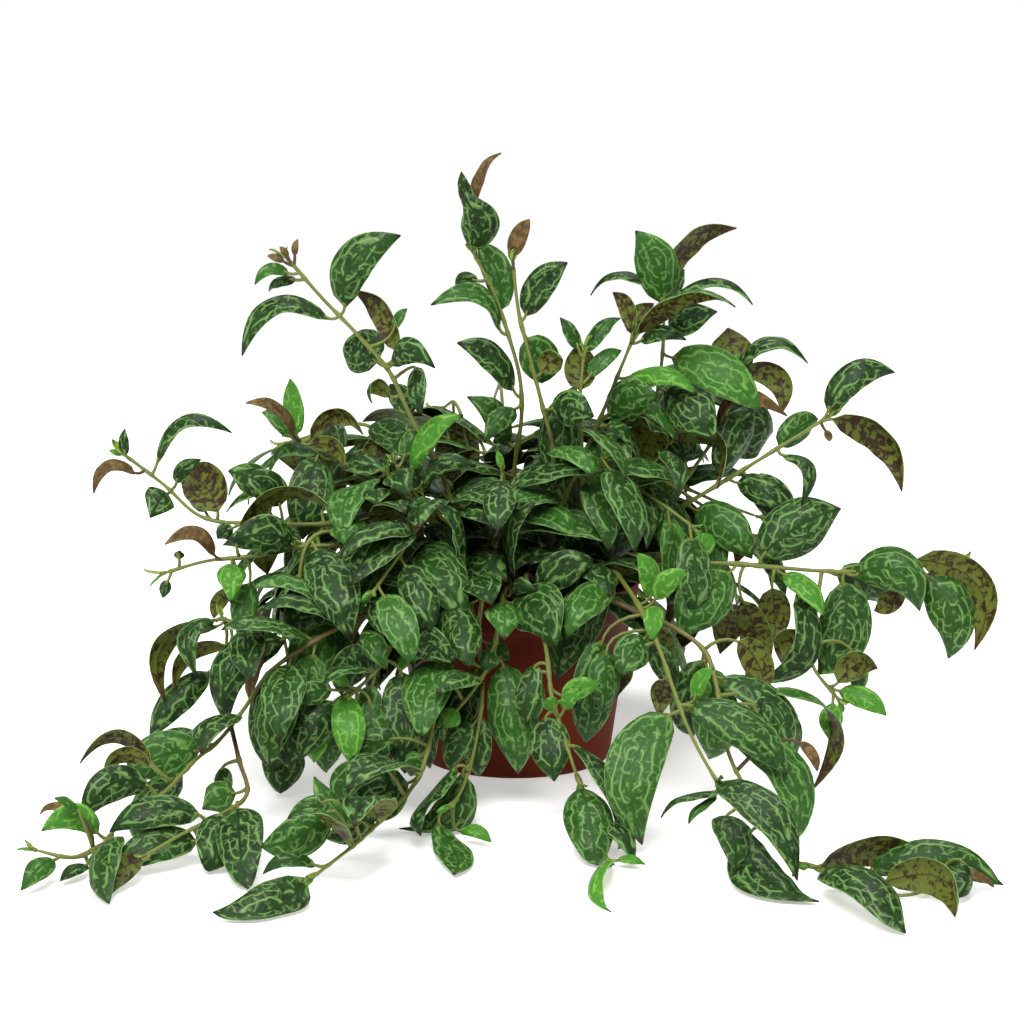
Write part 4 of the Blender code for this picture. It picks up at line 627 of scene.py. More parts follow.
def tube(line, first_radius, last_radius, sides, extra=0.0):
    """Vertices and faces of a closed tube along a line, rounded off by its taper."""
    verts, faces = [], []
    across = Vector((0, 1, 0)) if abs((line[1] - line[0]).normalized().y) < 0.9 else Vector((1, 0, 0))
    for k, point in enumerate(line):
        run = (line[min(k + 1, len(line) - 1)] - line[max(k - 1, 0)]).normalized()
        across = (across - run * across.dot(run)).normalized()
        over = run.cross(across)
        radius = first_radius + (last_radius - first_radius) * k / (len(line) - 1) + extra
        for side in range(sides):
            turn = math.tau * side / sides
            verts.append(point + across * (radius * math.cos(turn)) + over * (radius * math.sin(turn)))
    for k in range(len(line) - 1):
        for side in range(sides):
            a, b = k * sides + side, k * sides + (side + 1) % sides
            faces += [(a, b, b + sides), (a, b + sides, a + sides)]
    last = (len(line) - 1) * sides
    faces += [(0, side + 1, side) for side in range(1, sides - 1)]
    faces += [(last, last + side, last + side + 1) for side in range(1, sides - 1)]
    return verts, faces


def blade_shape(t):
    """Half width of a leaf as a share of its widest, at t along the blade: full, with a drawn-out tip."""
    return abs(math.sin(math.pi * t**BLADE_SHIFT)) ** (BLADE_FULLNESS + BLADE_POINT * t**POINT_POWER)


def arch_rise(chord, face, arch, view=None):
    """Arch of a blade at its middle, as a vector for a chord of length 1.

    It is partly to the blade's face and partly up, or down where the arch is negative. With a view
    direction, the up part lies square to that, so the blade is seen to bend.
    """
    way = chord.normalized()
    up = Vector((0, 0, 1)) - way * way.z
    up *= min(1.0, UP_GAIN * up.length) / max(up.length, UP_LEAST)
    if view:
        aside = way.cross(view).normalized()
        up = aside if aside.z > 0 else -aside
    hand = 1 if arch > 0 else -1
    return (up * (ARCH_UP * hand) + face * (1 - ARCH_UP)).normalized() * abs(arch)


def blade_row(leaf, t):
    """Midrib point, side direction and top direction at t, from 0 at the blade's foot to 1 at its tip."""
    chord = leaf.tip - leaf.base
    rise = leaf.rise * chord.length
    point = leaf.base + chord * t + rise * (4 * t * (1 - t))
    run = (chord + rise * (4 * (1 - 2 * t))).normalized()
    side = run.cross(leaf.face).normalized()
    point.z = lifted(point.z, abs(side.z) * leaf.width / 2 * blade_shape(t))
    return point, side, side.cross(run)


def lifted(height, room=0.0):
    """Height kept above the resting height by the room needed, with a soft start."""
    lowest = LOWEST + room
    if height > lowest + LIFT_SOFTNESS:
        return height
    return lowest + LIFT_SOFTNESS * math.exp((height - lowest) / LIFT_SOFTNESS - 1)


def blade_edge(leaf, t, hand):
    """Edge point of the blade at t on one side, 1 or -1. The blade folds up from its midrib."""
    point, side, top = blade_row(leaf, t)
    half = max(leaf.width / 2 * blade_shape(t), PETIOLE_RADIUS)
    edge = point + side * (half * hand) + top * (half * LEAF_FOLD)
    edge.z = lifted(edge.z)
    return edge


def petiole_frame(leaf, side):
    """Side and top directions at the petiole's end, halfway between the petiole's run and the blade's."""
    run = (leaf.base - leaf.root).normalized() + (leaf.tip - leaf.base).normalized()
    run = (run + leaf.rise).normalized()
    side = (side - run * side.dot(run)).normalized()
    return side, side.cross(run)


def leaf_solid(leaf, extra=0.0, blade_only=False):
    """Vertices and faces of one leaf: a petiole out of the stem, then a blade thickest at its midrib."""
    verts = [leaf.root.copy()] if not blade_only else [blade_row(leaf, BLADE_FROM)[0]]
    rows = leaf.rows if not blade_only else leaf.rows[1:]
    for t in rows:
        point, side, top = blade_row(leaf, t)
        left, right = blade_edge(leaf, t, 1), blade_edge(leaf, t, -1)
        low = point - top * (LEAF_THICK + extra)
        if t == 0:
            side, top = petiole_frame(leaf, side)
            left = point + (side + top * PETIOLE_FLAT) * PETIOLE_RADIUS
            right = point - (side - top * PETIOLE_FLAT) * PETIOLE_RADIUS
            low = point - top * (PETIOLE_RADIUS + extra)
        spread, rise = side * extra, top * extra
        verts += [left + spread + rise, right - spread + rise, low]
    verts.append(leaf.tip + Vector((0, 0, lifted(leaf.tip.z) - leaf.tip.z)))
    last = len(verts) - 1
    faces = [(0, 2, 1), (0, 3, 2), (0, 1, 3)]
    for row in range(len(rows) - 1):
        left, right, low = range(1 + row * 3, 4 + row * 3)
        faces += [(left, right, right + 3), (left, right + 3, left + 3)]
        faces += [(right, low, right + 3), (low, low + 3, right + 3)]
        faces += [(low, left, left + 3), (low, left + 3, low + 3)]
    faces += [(last, last - 3, last - 2), (last, last - 2, last - 1), (last, last - 1, last - 3)]
    return verts, [face[::-1] for face in faces]


class Room:
    """Everything placed so far, to keep the next stem or leaf clear of it."""

    def __init__(self):
        self.taken = []

    def add(self, verts, faces, owner):
        self.taken.append((box_of(verts), BVHTree.FromPolygons(verts, faces), owner))

    def free(self, verts, faces, ignored=()):
        low, high = box_of(verts)
        tree = None
        for (other_low, other_high), other, owner in self.taken:
            if owner in ignored:
                continue
            if any(low[k] > other_high[k] or high[k] < other_low[k] for k in range(3)):
                continue
            tree = tree or BVHTree.FromPolygons(verts, faces)
            if tree.overlap(other):
                return False
        return True


def box_of(verts):
    """Lowest and highest corner of some points."""
    return [min(v[k] for v in verts) for k in range(3)], [max(v[k] for v in verts) for k in range(3)]


def root_spots(count):
    """Even spots for the stems' roots in the soil."""
    turn = math.pi * (3 - math.sqrt(5))
    spots = []
    for k in range(count):
        radius = ROOT_RING_RADIUS * math.sqrt((k + 0.5) / count)
        spots.append(Vector((radius * math.cos(turn * k), radius * math.sin(turn * k), 0)))
    return spots


def take_spot(spots, wanted):
    """Remove and return the free spot nearest to where a stem leaves the pot."""
    flat = Vector((wanted.x, wanted.y, 0))
    if flat.length > ROOT_RING_RADIUS * INNER_RING:
        flat *= ROOT_RING_RADIUS * INNER_RING / flat.length
    best = min(spots, key=lambda spot: (spot - flat).length)
    spots.remove(best)
    return best


def starts_in_soil(line):
    """Whether a line starts sunk in the pot's soil."""
    return line[0].z < SOIL_TOP and math.hypot(line[0].x, line[0].y) < ROOT_RING_RADIUS


def rooted(spot, route):
    """A stem's route with its sunk, upright foot in front."""
    foot = spot + Vector((0, 0, SOIL_TOP - STEM_SUNK))
    return [foot, spot + Vector((0, 0, SOIL_TOP + FOOT_RISE))] + route


def line_is_free(line, room, name, radius=STEM_ROOT_RADIUS):
    """Whether a stem along this line keeps clear of the pot and of what is placed."""
    start = 1 if starts_in_soil(line) else 0
    for a, b in zip(line[start:], line[start + 1 :]):
        if not all(clear_of_pot(a.lerp(b, t), radius + CLEAR) for t in LINE_PROBED):
            return False
    if not room.free(*tube(line[start:], radius, STEM_END_RADIUS, STEM_SIDES, CLEAR), (name,)):
        return False
    return room.free(*tube(line, radius, STEM_END_RADIUS, STEM_SIDES, CLEAR), (name, "pot"))


def clear_line(make_points, room, name, seed):
    """Line for a stem: its points are shifted a little, by seeded draws, until it is free."""
    draw = random.Random(seed)
    for attempt in range(STEM_TRIES):
        amount = STEM_SHIFT_STEP * attempt
        points = make_points(draw, amount)
        if starts_in_soil(points):
            line = points[:1] + smooth_line(points[1:], STEM_STEP, points[0])
        else:
            line = smooth_line(points, STEM_STEP)
        if line_is_free(line, room, name):
            return line
    print("no free line for", name)
    return None


def drawn_points(route, spot=None):
    """Maker of a drawn stem's points, which shifts them along their sight lines only."""

    def make(draw, amount):
        points = []
        for index, (across, down, near) in enumerate(route):
            fixed = spot is None and index == 0
            shift = 0 if fixed else draw.uniform(-amount, amount) / MM
            points.append(place(across, down, near + shift))
        return rooted(spot, points) if spot else points

    return make


def grown_points(spot, angle, reach, rise, end):
    """Maker of a grown stem's points: out over the rim in an arc, to its end height."""
    way = Vector((math.cos(angle), math.sin(angle), 0))

    def make(draw, amount):
        points = []
        start = math.hypot(spot.x, spot.y)
        for t in LINE_PROBED:
            out = start + (reach - start) * t
            bow = math.sin(math.pi * min(t * BOW_SPREAD, BOW_END))
            height = SOIL_TOP + BOW_FOOT + rise * bow + (end - SOIL_TOP) * t**2
            if rise > end - SOIL_TOP > UPRIGHT_FROM:
                height = SOIL_TOP + BOW_FOOT + (end - SOIL_TOP) * math.sin(t * math.pi / 2)
            wobble = Vector([draw.uniform(-amount, amount) for _ in range(3)])
            point = way * out + Vector((0, 0, max(height, LOWEST + FLOOR_GAP))) + wobble
            points.append(point)
        return rooted(spot, points)

    return make


def is_above_soil(spot, least):
    """Whether a spot of a stem is out of the pot, or at least so high above its soil."""
    return spot.z > SOIL_TOP + least or math.hypot(spot.x, spot.y) > POT_MOUTH_RADIUS


def nearest_on(lines, point):
    """Point of the node's lines that lies nearest in the front drawing, and then in depth."""

    def seen_distance(spot):
        ahead = (point - EYE).normalized()
        offset = spot - EYE
        return (offset - ahead * offset.dot(ahead)).length + DEPTH_SHARE * (spot - point).length

    spots = []
    for line in lines:
        inner = [spot for spot in line if is_above_soil(spot, FOOT_CLEAR)]
        for a, b in zip(inner, inner[1:]):
            spots += [a.lerp(b, k / SPOTS_BETWEEN) for k in range(SPOTS_BETWEEN)]
    return min(spots, key=seen_distance)


def face_toward(chord, mid, seen, width, under):
    """Direction of a drawn leaf's top, turned about its chord until its seen width fits."""
    way = chord.normalized()
    view = (EYE - mid).normalized() * (-1 if under else 1)
    flat = (view - way * view.dot(way)).normalized()
    roll = math.acos(min(1.0, seen / width))
    outward = Vector((mid.x, mid.y, 0)).normalized() * DRAWN_OUTWARD + Vector((0, 0, 1))
    choices = [Matrix.Rotation(hand * roll, 3, way) @ flat for hand in (1, -1)]
    return max(choices, key=lambda face: face.dot(outward))


def drawn_leaf(entry, lines, draw, attempt):
    """A leaf of the drawing. Later attempts move its tip in depth, then turn it a little."""
    kind, base_across, base_down, tip_across, tip_down, seen, lean, arch = entry
    foot = nearest_on(lines, place(base_across, base_down, FIRST_NEAR))
    foot = nearest_on(lines, place(base_across, base_down, -foot.y / MM))
    near = -foot.y / MM
    slack = min(attempt, SLACK_TRIES) * SLACK_STEP
    jitter = draw.uniform(-DEPTH_JITTER, DEPTH_JITTER) * slack
    base = place(base_across, base_down, near + BASE_NEARER + jitter)
    drift = DRIFT_STEP * max(0, attempt - DRIFT_FROM)
    tip = place(
        tip_across + draw.uniform(-drift, drift),
        tip_down + draw.uniform(-drift, drift),
        -base.y / MM + lean + draw.uniform(-slack, slack),
    )
    way = (tip - foot).normalized()
    if (base - foot).length < SHORTEST_PETIOLE or (base - foot).normalized().dot(way) < 0:
        base = foot + way * DRAWN_PETIOLE
    chord = tip - base
    seen_width = seen * SEEN_GAIN * sheet_scale(base.lerp(tip, 0.5))
    width = max(seen_width, (seen_width + chord.length * LEAF_ASPECT) / 2)
    face = face_toward(chord, base.lerp(tip, 0.5), seen_width, width, kind == "under")
    spin = Matrix.Rotation(draw.uniform(-SPIN_STEP, SPIN_STEP) * attempt, 3, chord.normalized())
    face = (spin @ face).normalized()
    view = base - EYE if abs(arch) >= SEEN_BEND else None
    rows = DRAWN_ROWS if seen > FULL_ROWS_FROM else GROWN_ROWS
    return Leaf(kind, foot, base, tip, face, width, arch_rise(chord, face, arch * ARCH_GAIN, view), rows)


def grown_leaf(foot, run, turn, size, draw, attempt):
    """A leaf that grows by rule at a node of its stem, out to one side and drooping."""
    side = Vector((0, 0, 1)).cross(run)
    side = side.normalized() if side.length > UPRIGHT else Vector((1, 0, 0))
    out = Matrix.Rotation(turn, 3, run) @ side
    loose = LOOSE_STEP * attempt
    wobble = Vector([draw.uniform(-loose, loose) for _ in range(3)])
    sag = Vector((0, 0, -SAG))
    way = (run * math.cos(PAIR_LEAN) + out * math.sin(PAIR_LEAN) + sag + wobble).normalized()
    base = foot + way * GROWN_PETIOLE
    length = size * (1 - SHRINK_STEP * attempt)
    tip = base + (way + sag * TIP_SAG).normalized() * length
    tip.z = max(tip.z, LOWEST)
    chord = tip - base
    outward = Vector((tip.x, tip.y, 0)).normalized()
    up = Vector((0, 0, 1)) + outward * LEAF_OUTWARD + out * LEAF_APART + wobble
    face = (up - chord * (up.dot(chord) / chord.length_squared)).normalized()
    width = length * LEAF_ASPECT * GROWN_FULLER
    return Leaf("top", foot, base, tip, face, width, arch_rise(chord, face, GROWN_ARCH), GROWN_ROWS)


def leaf_is_free(leaf, room, name):
    """Whether a leaf keeps clear of the pot, the surface and everything placed."""
    for t in PROBED:
        for point in (blade_edge(leaf, t, 1), blade_edge(leaf, t, -1), blade_row(leaf, t)[0]):
            if not clear_of_pot(point, LEAF_POT_GAP):
                return False
    if not room.free(*leaf_solid(leaf, CLEAR / 2, blade_only=True)):
        return False
    return room.free(*leaf_solid(leaf, CLEAR / 2), (name,))


def add_leaf(make, room, name, leaves, tries):
    """Keep the first free try for a leaf, if there is one."""
    for attempt in range(tries):
        leaf = make(attempt)
        if leaf_is_free(leaf, room, name):
            room.add(*leaf_solid(leaf), None)
            leaves.append(leaf)
            return True
    return False


def lay_out_stems(room):
    """Lines of all stems, the drawn ones first, each rooted at its own spot in the soil."""
    count = len(DRAWN_STEMS) + sum(group[1] for group in GROWN_STEMS)
    spots = root_spots(count)
    stems = []
    for index, (name, routes, _) in enumerate(DRAWN_STEMS):
        wanted = place(*routes[0][0])
        lines = [clear_line(drawn_points(routes[0], take_spot(spots, wanted)), room, name, index)]
        for twig_index, route in enumerate(routes[1:]):
            seed = TWIG_SEED + index * 5 + twig_index
            lines.append(clear_line(twig_points(lines, route), room, name, seed))
        keep_stem(stems, room, name, lines)
    draw = random.Random(GROWN_SEED)
    for name, number, first, last, reach, rise, end in GROWN_STEMS:
        for k in range(number):
            angle = math.radians(first + (last - first) * k / (number - 1) + draw.uniform(*ANGLE_SPREAD))
            reach_now, rise_now = reach * draw.uniform(*REACH_SPREAD), rise * draw.uniform(*RISE_SPREAD)
            wanted = Vector((math.cos(angle), math.sin(angle), 0)) * ROOT_RING_RADIUS
            spot = take_spot(spots, wanted)
            make = grown_points(spot, angle, reach_now, rise_now, end * draw.uniform(*END_SPREAD))
            label = f"{name}_{k + 1}"
            keep_stem(stems, room, label, [clear_line(make, room, label, GROWN_SEED + len(stems))])
    return stems


def twig_points(lines, route):
    """Maker of a twig's points, from the nearest point of the stem that carries it."""
    start = nearest_on(lines, place(*route[0]))

    def make(draw, amount):
        points = [start]
        for across, down, near in route[1:]:
            points.append(place(across, down, near + draw.uniform(-amount, amount) / MM))
        return points

    return make


def keep_stem(stems, room, name, lines):
    """Add a stem whose lines were all found."""
    lines = [line for line in lines if line]
    if not lines:
        return
    for line in lines:
        room.add(*tube(line, STEM_ROOT_RADIUS, STEM_END_RADIUS, STEM_SIDES), name)
    stems.append(Stem(name, lines, []))


def lay_out_leaves(stems, room):
    """Leaves of the drawing first, then pairs along every stem where there is room for them."""
    by_name = {stem.name: stem for stem in stems}
    entries = [(by_name[name], entry) for name, _, drawn in DRAWN_STEMS for entry in drawn]
    entries.sort(key=lambda pair: -pair[1][5])
    for number, (stem, entry) in enumerate(entries):
        draw = random.Random(number)

        def make(attempt):
            return drawn_leaf(entry, stem.lines, draw, attempt)

        add_leaf(make, room, stem.name, stem.leaves, DRAWN_TRIES)
    drawn_names = {name for name, _, _ in DRAWN_STEMS}
    for index, stem in enumerate(stems):
        draw = random.Random(GROWN_SEED + 7 * index)
        drawn = stem.name in drawn_names
        for line in stem.lines:
            grow_pairs(line, stem, room, draw, drawn)


def grow_pairs(line, stem, room, draw, behind_only, spacing=PAIR_SPACING, offset=0.0):
    """Opposite pairs at even nodes along a line, each pair a quarter turn from the last."""
    length = sum((q - p).length for p, q in zip(line, line[1:]))
    pairs = int(length / spacing)
    for pair in range(1, pairs + 1):
        foot, run = point_along(line, length * (pair - offset) / pairs * LAST_PAIR)
        if not is_above_soil(foot, FIRST_PAIR_RISE):
            continue
        quarter = math.pi / 2 * (pair % 2) + draw.uniform(-NODE_TURN, NODE_TURN)
        taken = [leaf for leaf in stem.leaves if (leaf.root - foot).length < SAME_NODE]
        for hand in range(2 - min(2, len(taken))):
            size = draw.uniform(*LEAF_LENGTH) * (END_LEAF_SIZE if pair == pairs else 1.0)
            turn = quarter + math.pi * hand
            leaf = grown_leaf(foot, run, turn, size, draw, 0)
            if not inside_outline(leaf) or (behind_only and not hidden_or_dense(leaf)):
                continue

            def make(attempt):
                return grown_leaf(foot, run, turn, size, draw, attempt)

            add_leaf(make, room, stem.name, stem.leaves, GROWN_TRIES)


def hidden_or_dense(leaf):
    """Whether a grown leaf points away from the viewer, or lies in the dense heart of the plant."""
    if (leaf.tip - leaf.root).y > BEHIND:
        return True
    across, down = on_sheet(leaf.base.lerp(leaf.tip, 0.6))
    if SHOWN_POT[0] < across < SHOWN_POT[1] and down > SHOWN_POT[2]:
        return False
    return any(abs(across - c[0]) < c[2] and abs(down - c[1]) < c[3] for c in DENSE)


def inside_outline(leaf):
    """Whether a grown leaf stays inside the outline of the plant's mass, seen from the front."""
    for t in OUTLINE_PROBED:
        across, down = on_sheet(leaf.base.lerp(leaf.tip, t))
        crossings = 0
        for (a, b), (c, d) in zip(OUTLINE, OUTLINE[1:] + OUTLINE[:1]):
            if (b > down) != (d > down) and across < a + (down - b) * (c - a) / (d - b):
                crossings += 1
        if crossings % 2 == 0:
            return False
    return True


def on_sheet(point):
    """Across and down of a point in the front drawing."""
    offset = point - EYE
    scale = SHEET_DISTANCE / offset.dot(EYE_AHEAD)
    return SHEET_CENTRE + offset.dot(EYE_RIGHT) * scale, SHEET_CENTRE - offset.dot(EYE_UP) * scale


def point_along(line, distance):
    """Point and direction at a distance along a line."""
    for p, q in zip(line, line[1:]):
        span = (q - p).length
        if distance <= span:
            return p.lerp(q, distance / span), (q - p).normalized()
        distance -= span
    return line[-1].copy(), (line[-1] - line[-2]).normalized()


def add_inner_leaves(stems, room):
    """More pairs between those of the solids, where the plant is dense or hidden from the front."""
    drawn_names = {name for name, _, _ in DRAWN_STEMS}
    for index, stem in enumerate(stems):
        draw = random.Random(GROWN_SEED + INNER_SEED + index)
        for spacing in INNER_SPACING:
            for line in stem.lines:
                grow_pairs(line, stem, room, draw, stem.name in drawn_names, spacing, 0.5)


def turned(profile, sides):
    """Vertices and faces of a solid turned about Z from (radius, height) points, up from axis to axis."""
    verts, rings, faces = [], [], []
    for radius, height in profile:
        count = sides if radius > 0 else 1
        rings.append(range(len(verts), len(verts) + count))
        turns = [math.tau * k / sides for k in range(count)]
        verts += [Vector((radius * math.cos(a), radius * math.sin(a), height)) for a in turns]
    for lower, upper in zip(rings, rings[1:]):
        for k in range(sides):
            a, b = lower[k % len(lower)], lower[(k + 1) % len(lower)]
            c, d = upper[(k + 1) % len(upper)], upper[k % len(upper)]
            faces.append((a, c, d) if a == b else (a, b, c) if c == d else (a, b, c, d))
    return verts, faces


def wall_radius(height):
    """Outer radius of the pot's tapered wall at a height, without its rim band."""
    return POT_BASE_RADIUS + (POT_MOUTH_RADIUS - POT_BASE_RADIUS) * height / POT_HEIGHT


def soil_radius(height):
    """Radius of the soil at a height, just inside the pot's wall."""
    return wall_radius(height) - POT_WALL - SOIL_GAP * 2


def blade_outline(t):
    """Half width of a blade as a share of its widest: sin(pi t^0.88) to a power that grows to the tip."""
    wave = np.sin(np.pi * np.clip(t, 0, 1) ** BLADE_SHIFT)
    return np.clip(wave, 0, 1) ** (BLADE_FULLNESS + BLADE_POINT * t**POINT_POWER)


def put(name, data):
    """New object in the scene."""
    thing = bpy.data.objects.new(name, data)
    bpy.context.scene.collection.objects.link(thing)
    return thing


def unit(vectors):
    """Vectors at length 1."""
    return vectors / np.maximum(np.linalg.norm(vectors, axis=-1, keepdims=True), 1e-12)


def above_floor(height):
    """Height kept above the resting height: the same curve as `lifted`, on whole arrays."""
    soft = LOWEST + LIFT_SOFTNESS * np.exp(np.minimum((height - LOWEST) / LIFT_SOFTNESS - 1, 0))
    return np.where(height > LOWEST + LIFT_SOFTNESS, height, soft)


def blade_grids(leaves, draw):
    """Middle surfaces of all blades, as an array of leaves x rows x columns x 3, and their normals.

    The midrib is the chord plus an arch 4t(1-t), and from t = 0.7 it curls down by (t-0.7)^2. Across, at u
    from -1 to 1, a blade rises by fold |u|, droops by droop u^2 and waves by sin(2 pi waves t). It twists
    evenly about its midrib.
    """
    count = len(leaves)
    base, tip, face = (
        np.array([getattr(leaf, key)[:] for leaf in leaves]) for key in ("base", "tip", "face")
    )
    rise = np.array([leaf.rise[:] for leaf in leaves]) * ARCH_SHARE
    width = np.array([leaf.width for leaf in leaves])[:, None, None]
    dead = np.array([leaf.kind == "dead" for leaf in leaves])[:, None, None]
    t = BLADE_ROWS[None, :, None]
    u = BLADE_COLUMNS[None, None, :]
    chord = (tip - base)[:, None, :]
    length = np.linalg.norm(chord, axis=-1, keepdims=True)
    hook = draw.uniform(*TIP_CURL, (count, 1, 1))
    arc = 4 * t * (1 - t)
    curl = hook * (np.maximum(t - CURL_FROM, 0) / (1 - CURL_FROM)) ** 2
    midrib = base[:, None, :] + chord * t + (rise[:, None, :] * arc - face[:, None, :] * curl) * length
    run = unit(np.gradient(midrib, BLADE_ROWS, axis=1))
    side = unit(np.cross(run, face[:, None, :]))
    top = np.cross(side, run)
    twist = draw.uniform(-1, 1, (count, 1, 1)) * BLADE_TWIST * (t - TWIST_CENTRE)
    side, top = side * np.cos(twist) + top * np.sin(twist), top * np.cos(twist) - side * np.sin(twist)
    half = width / 2 * blade_outline(t) + BLADE_END_HALF
    fold = draw.uniform(*BLADE_FOLD, (count, 1, 1)) + dead * DEAD_FOLD
    droop = draw.uniform(*BLADE_DROOP, (count, 1, 1))
    phase = draw.uniform(0, 2 * np.pi, (count, 1, 1))
    waves = draw.uniform(*BLADE_WAVES, (count, 1, 1))
    lift = fold * (np.hypot(u, FOLD_SOFTNESS) - FOLD_SOFTNESS) - droop * u**2
    ripple = np.sin(2 * np.pi * waves * t + phase + np.sign(u) * WAVE_LAG)
    lift = lift + BLADE_WAVE * ripple * u**2 * np.sin(np.pi * t)
    narrow = 1 - NARROWING * (fold + droop)
    grid = midrib[:, :, None, :] + side[:, :, None, :] * (u * half * narrow)[..., None]
    grid = grid + top[:, :, None, :] * (half * lift)[..., None]
    grid[..., 2] = above_floor(grid[..., 2])
    across = np.gradient(grid, axis=2)
    along = np.gradient(grid, axis=1)
    return grid, unit(np.cross(across, along)), half


def blade_meshes(leaves, draw):
    """Closed blades: the middle surface moved out both ways by half its thickness, with a rim between.

    The upper skin has a fine groove over the midrib, and the lower skin a keel under it, both
    exp(-(x / 1.1 mm)^2).
    """
    grid, normal, half = blade_grids(leaves, draw)
    count, rows, columns, _ = grid.shape
    u = BLADE_COLUMNS[None, None, :]
    t = BLADE_ROWS[None, :, None]
    near_midrib = np.exp(-((u * half / MIDRIB_WIDTH) ** 2)) * (1 - BLADE_THINNING * t)
    thick = BLADE_THICK / 2 * (1 - BLADE_THINNING * u**2) + 0 * half
    upper = grid + normal * (thick - MIDRIB_GROOVE * near_midrib)[..., None]
    lower = grid - normal * (thick + MIDRIB_KEEL * near_midrib)[..., None]
    verts = np.concatenate([upper.reshape(count, -1, 3), lower.reshape(count, -1, 3)], axis=1)
    spot = np.arange(rows * columns).reshape(rows, columns)
    a, b, c, d = spot[:-1, :-1], spot[:-1, 1:], spot[1:, 1:], spot[1:, :-1]
    top_faces = np.stack([a, b, c, d], axis=-1).reshape(-1, 4)
    low_faces = top_faces[:, ::-1] + rows * columns
    loop = np.concatenate([spot[0, :-1], spot[:-1, -1], spot[-1, :0:-1], spot[:0:-1, 0]])
    after = np.roll(loop, -1)
    rim = np.stack([loop, loop + rows * columns, after + rows * columns, after], axis=-1)
    faces = np.concatenate([top_faces, low_faces, rim])
    skin = np.concatenate([np.zeros(len(top_faces)), np.ones(len(low_faces)), np.zeros(len(rim))]).astype(int)
    along, across, wide = (
        np.tile(np.broadcast_to(value, (count, rows, columns)).reshape(count, -1), 2)
        for value in (t, u, half)
    )
    long = np.array([(leaf.tip - leaf.base).length for leaf in leaves])[:, None]
    return verts, faces, skin, along, across, wide, long


def ring_quads(rings, sides):
    """Quads between neighbouring rings of a tube, with the numbers of its points by ring."""
    spot = np.arange(rings * sides).reshape(rings, sides)
    beside = np.roll(spot, -1, axis=1)
    return np.stack([spot[:-1], beside[:-1], beside[1:], spot[1:]], axis=-1).reshape(-1, 4), spot


def frames_along(path):
    """Two directions across a path at each of its points, carried along so that they never spin."""
    run = unit(np.gradient(path, axis=0))
    first = np.array([0.0, 1.0, 0.0]) if abs(run[0, 1]) < 0.9 else np.array([1.0, 0.0, 0.0])
    across = np.empty_like(path)
    for k, way in enumerate(run):
        first = unit(first - way * first.dot(way))
        across[k] = first
    return across, np.cross(run, across)


def tube_mesh(path, radii, sides):
    """Closed tube: circles of the given radii along a path, with both ends drawn in to a small flat cap."""
    across, over = frames_along(path)
    turn = np.linspace(0, 2 * np.pi, sides, endpoint=False)[None, :, None]
    ring = across[:, None, :] * np.cos(turn) + over[:, None, :] * np.sin(turn)
    verts = (path[:, None, :] + ring * radii[:, None, None]).reshape(-1, 3)
    quads, spot = ring_quads(len(path), sides)
    return verts, [tuple(quad) for quad in quads] + [tuple(spot[0, ::-1]), tuple(spot[-1])]


def fine_path(line, step):
    """The stem's own smooth curve through the solid's points, at a finer step."""
    if starts_in_soil(line):
        points = line[:1] + smooth_line(line[1:], step, line[0])
    else:
        points = smooth_line(line, step)
    return np.array([point[:] for point in points])


def stem_tube(line, roots, first_radius):
    """A stem: round, tapered, with a swelling exp(-(d / 3 mm)^2) at each leaf pair's node."""
    path = fine_path(line, STEM_RING_STEP)
    share = np.linspace(0, 1, len(path))
    radii = first_radius + (SHOOT_RADIUS - first_radius) * share
    if roots:
        nodes = np.array([root[:] for root in roots])
        gap = np.linalg.norm(path[:, None, :] - nodes[None, :, :], axis=-1).min(axis=1)
        radii = radii * (1 + NODE_SWELLING * np.exp(-((gap / NODE_LENGTH) ** 2)))
    radii[-1] *= SHOOT_END
    return path, radii


def petiole_path(leaf):
    """A leaf stalk: a quadratic curve from inside the stem that runs into the blade's midrib."""
    root, base, tip = (np.array(point[:]) for point in (leaf.root, leaf.base, leaf.tip))
    way = unit(tip - base + np.array(leaf.rise[:]) * (4 * ARCH_SHARE * np.linalg.norm(tip - base)))
    ahead = base + way * STALK_AHEAD
    knee = base - way * np.linalg.norm(base - root) * 0.5
    s = np.linspace(0, 1, STALK_RINGS)[:, None]
    return root * (1 - s) ** 2 + knee * 2 * s * (1 - s) + ahead * s**2


def bud_leaves(line, draw):
    """Two small unfolding leaves at a stem's end."""
    end = line[-1]
    run = (line[-1] - line[-2]).normalized()
    side = run.cross(Vector((0, 0, 1)))
    side = side.normalized() if side.length > UPRIGHT else Vector((1, 0, 0))
    side = Matrix.Rotation(draw.uniform(0, math.pi), 3, run) @ side
    leaves = []
    for hand in (1, -1):
        way = run * BUD_RUN + side * (hand * draw.uniform(*BUD_SPREAD))
        way = (way + Vector((0, 0, draw.uniform(*BUD_LIFT)))).normalized()
        length = draw.uniform(*BUD_LENGTH)
        tip = end + way * length
        tip.z = max(tip.z, LOWEST)
        face = side * -hand
        face = (face - way * face.dot(way)).normalized()
        root, base = end - run * BUD_ROOT, end + way * BUD_FOOT
        leaves.append(Leaf("young", root, base, tip, face, length * BUD_ASPECT, face * BUD_ARCH, None))
    return leaves


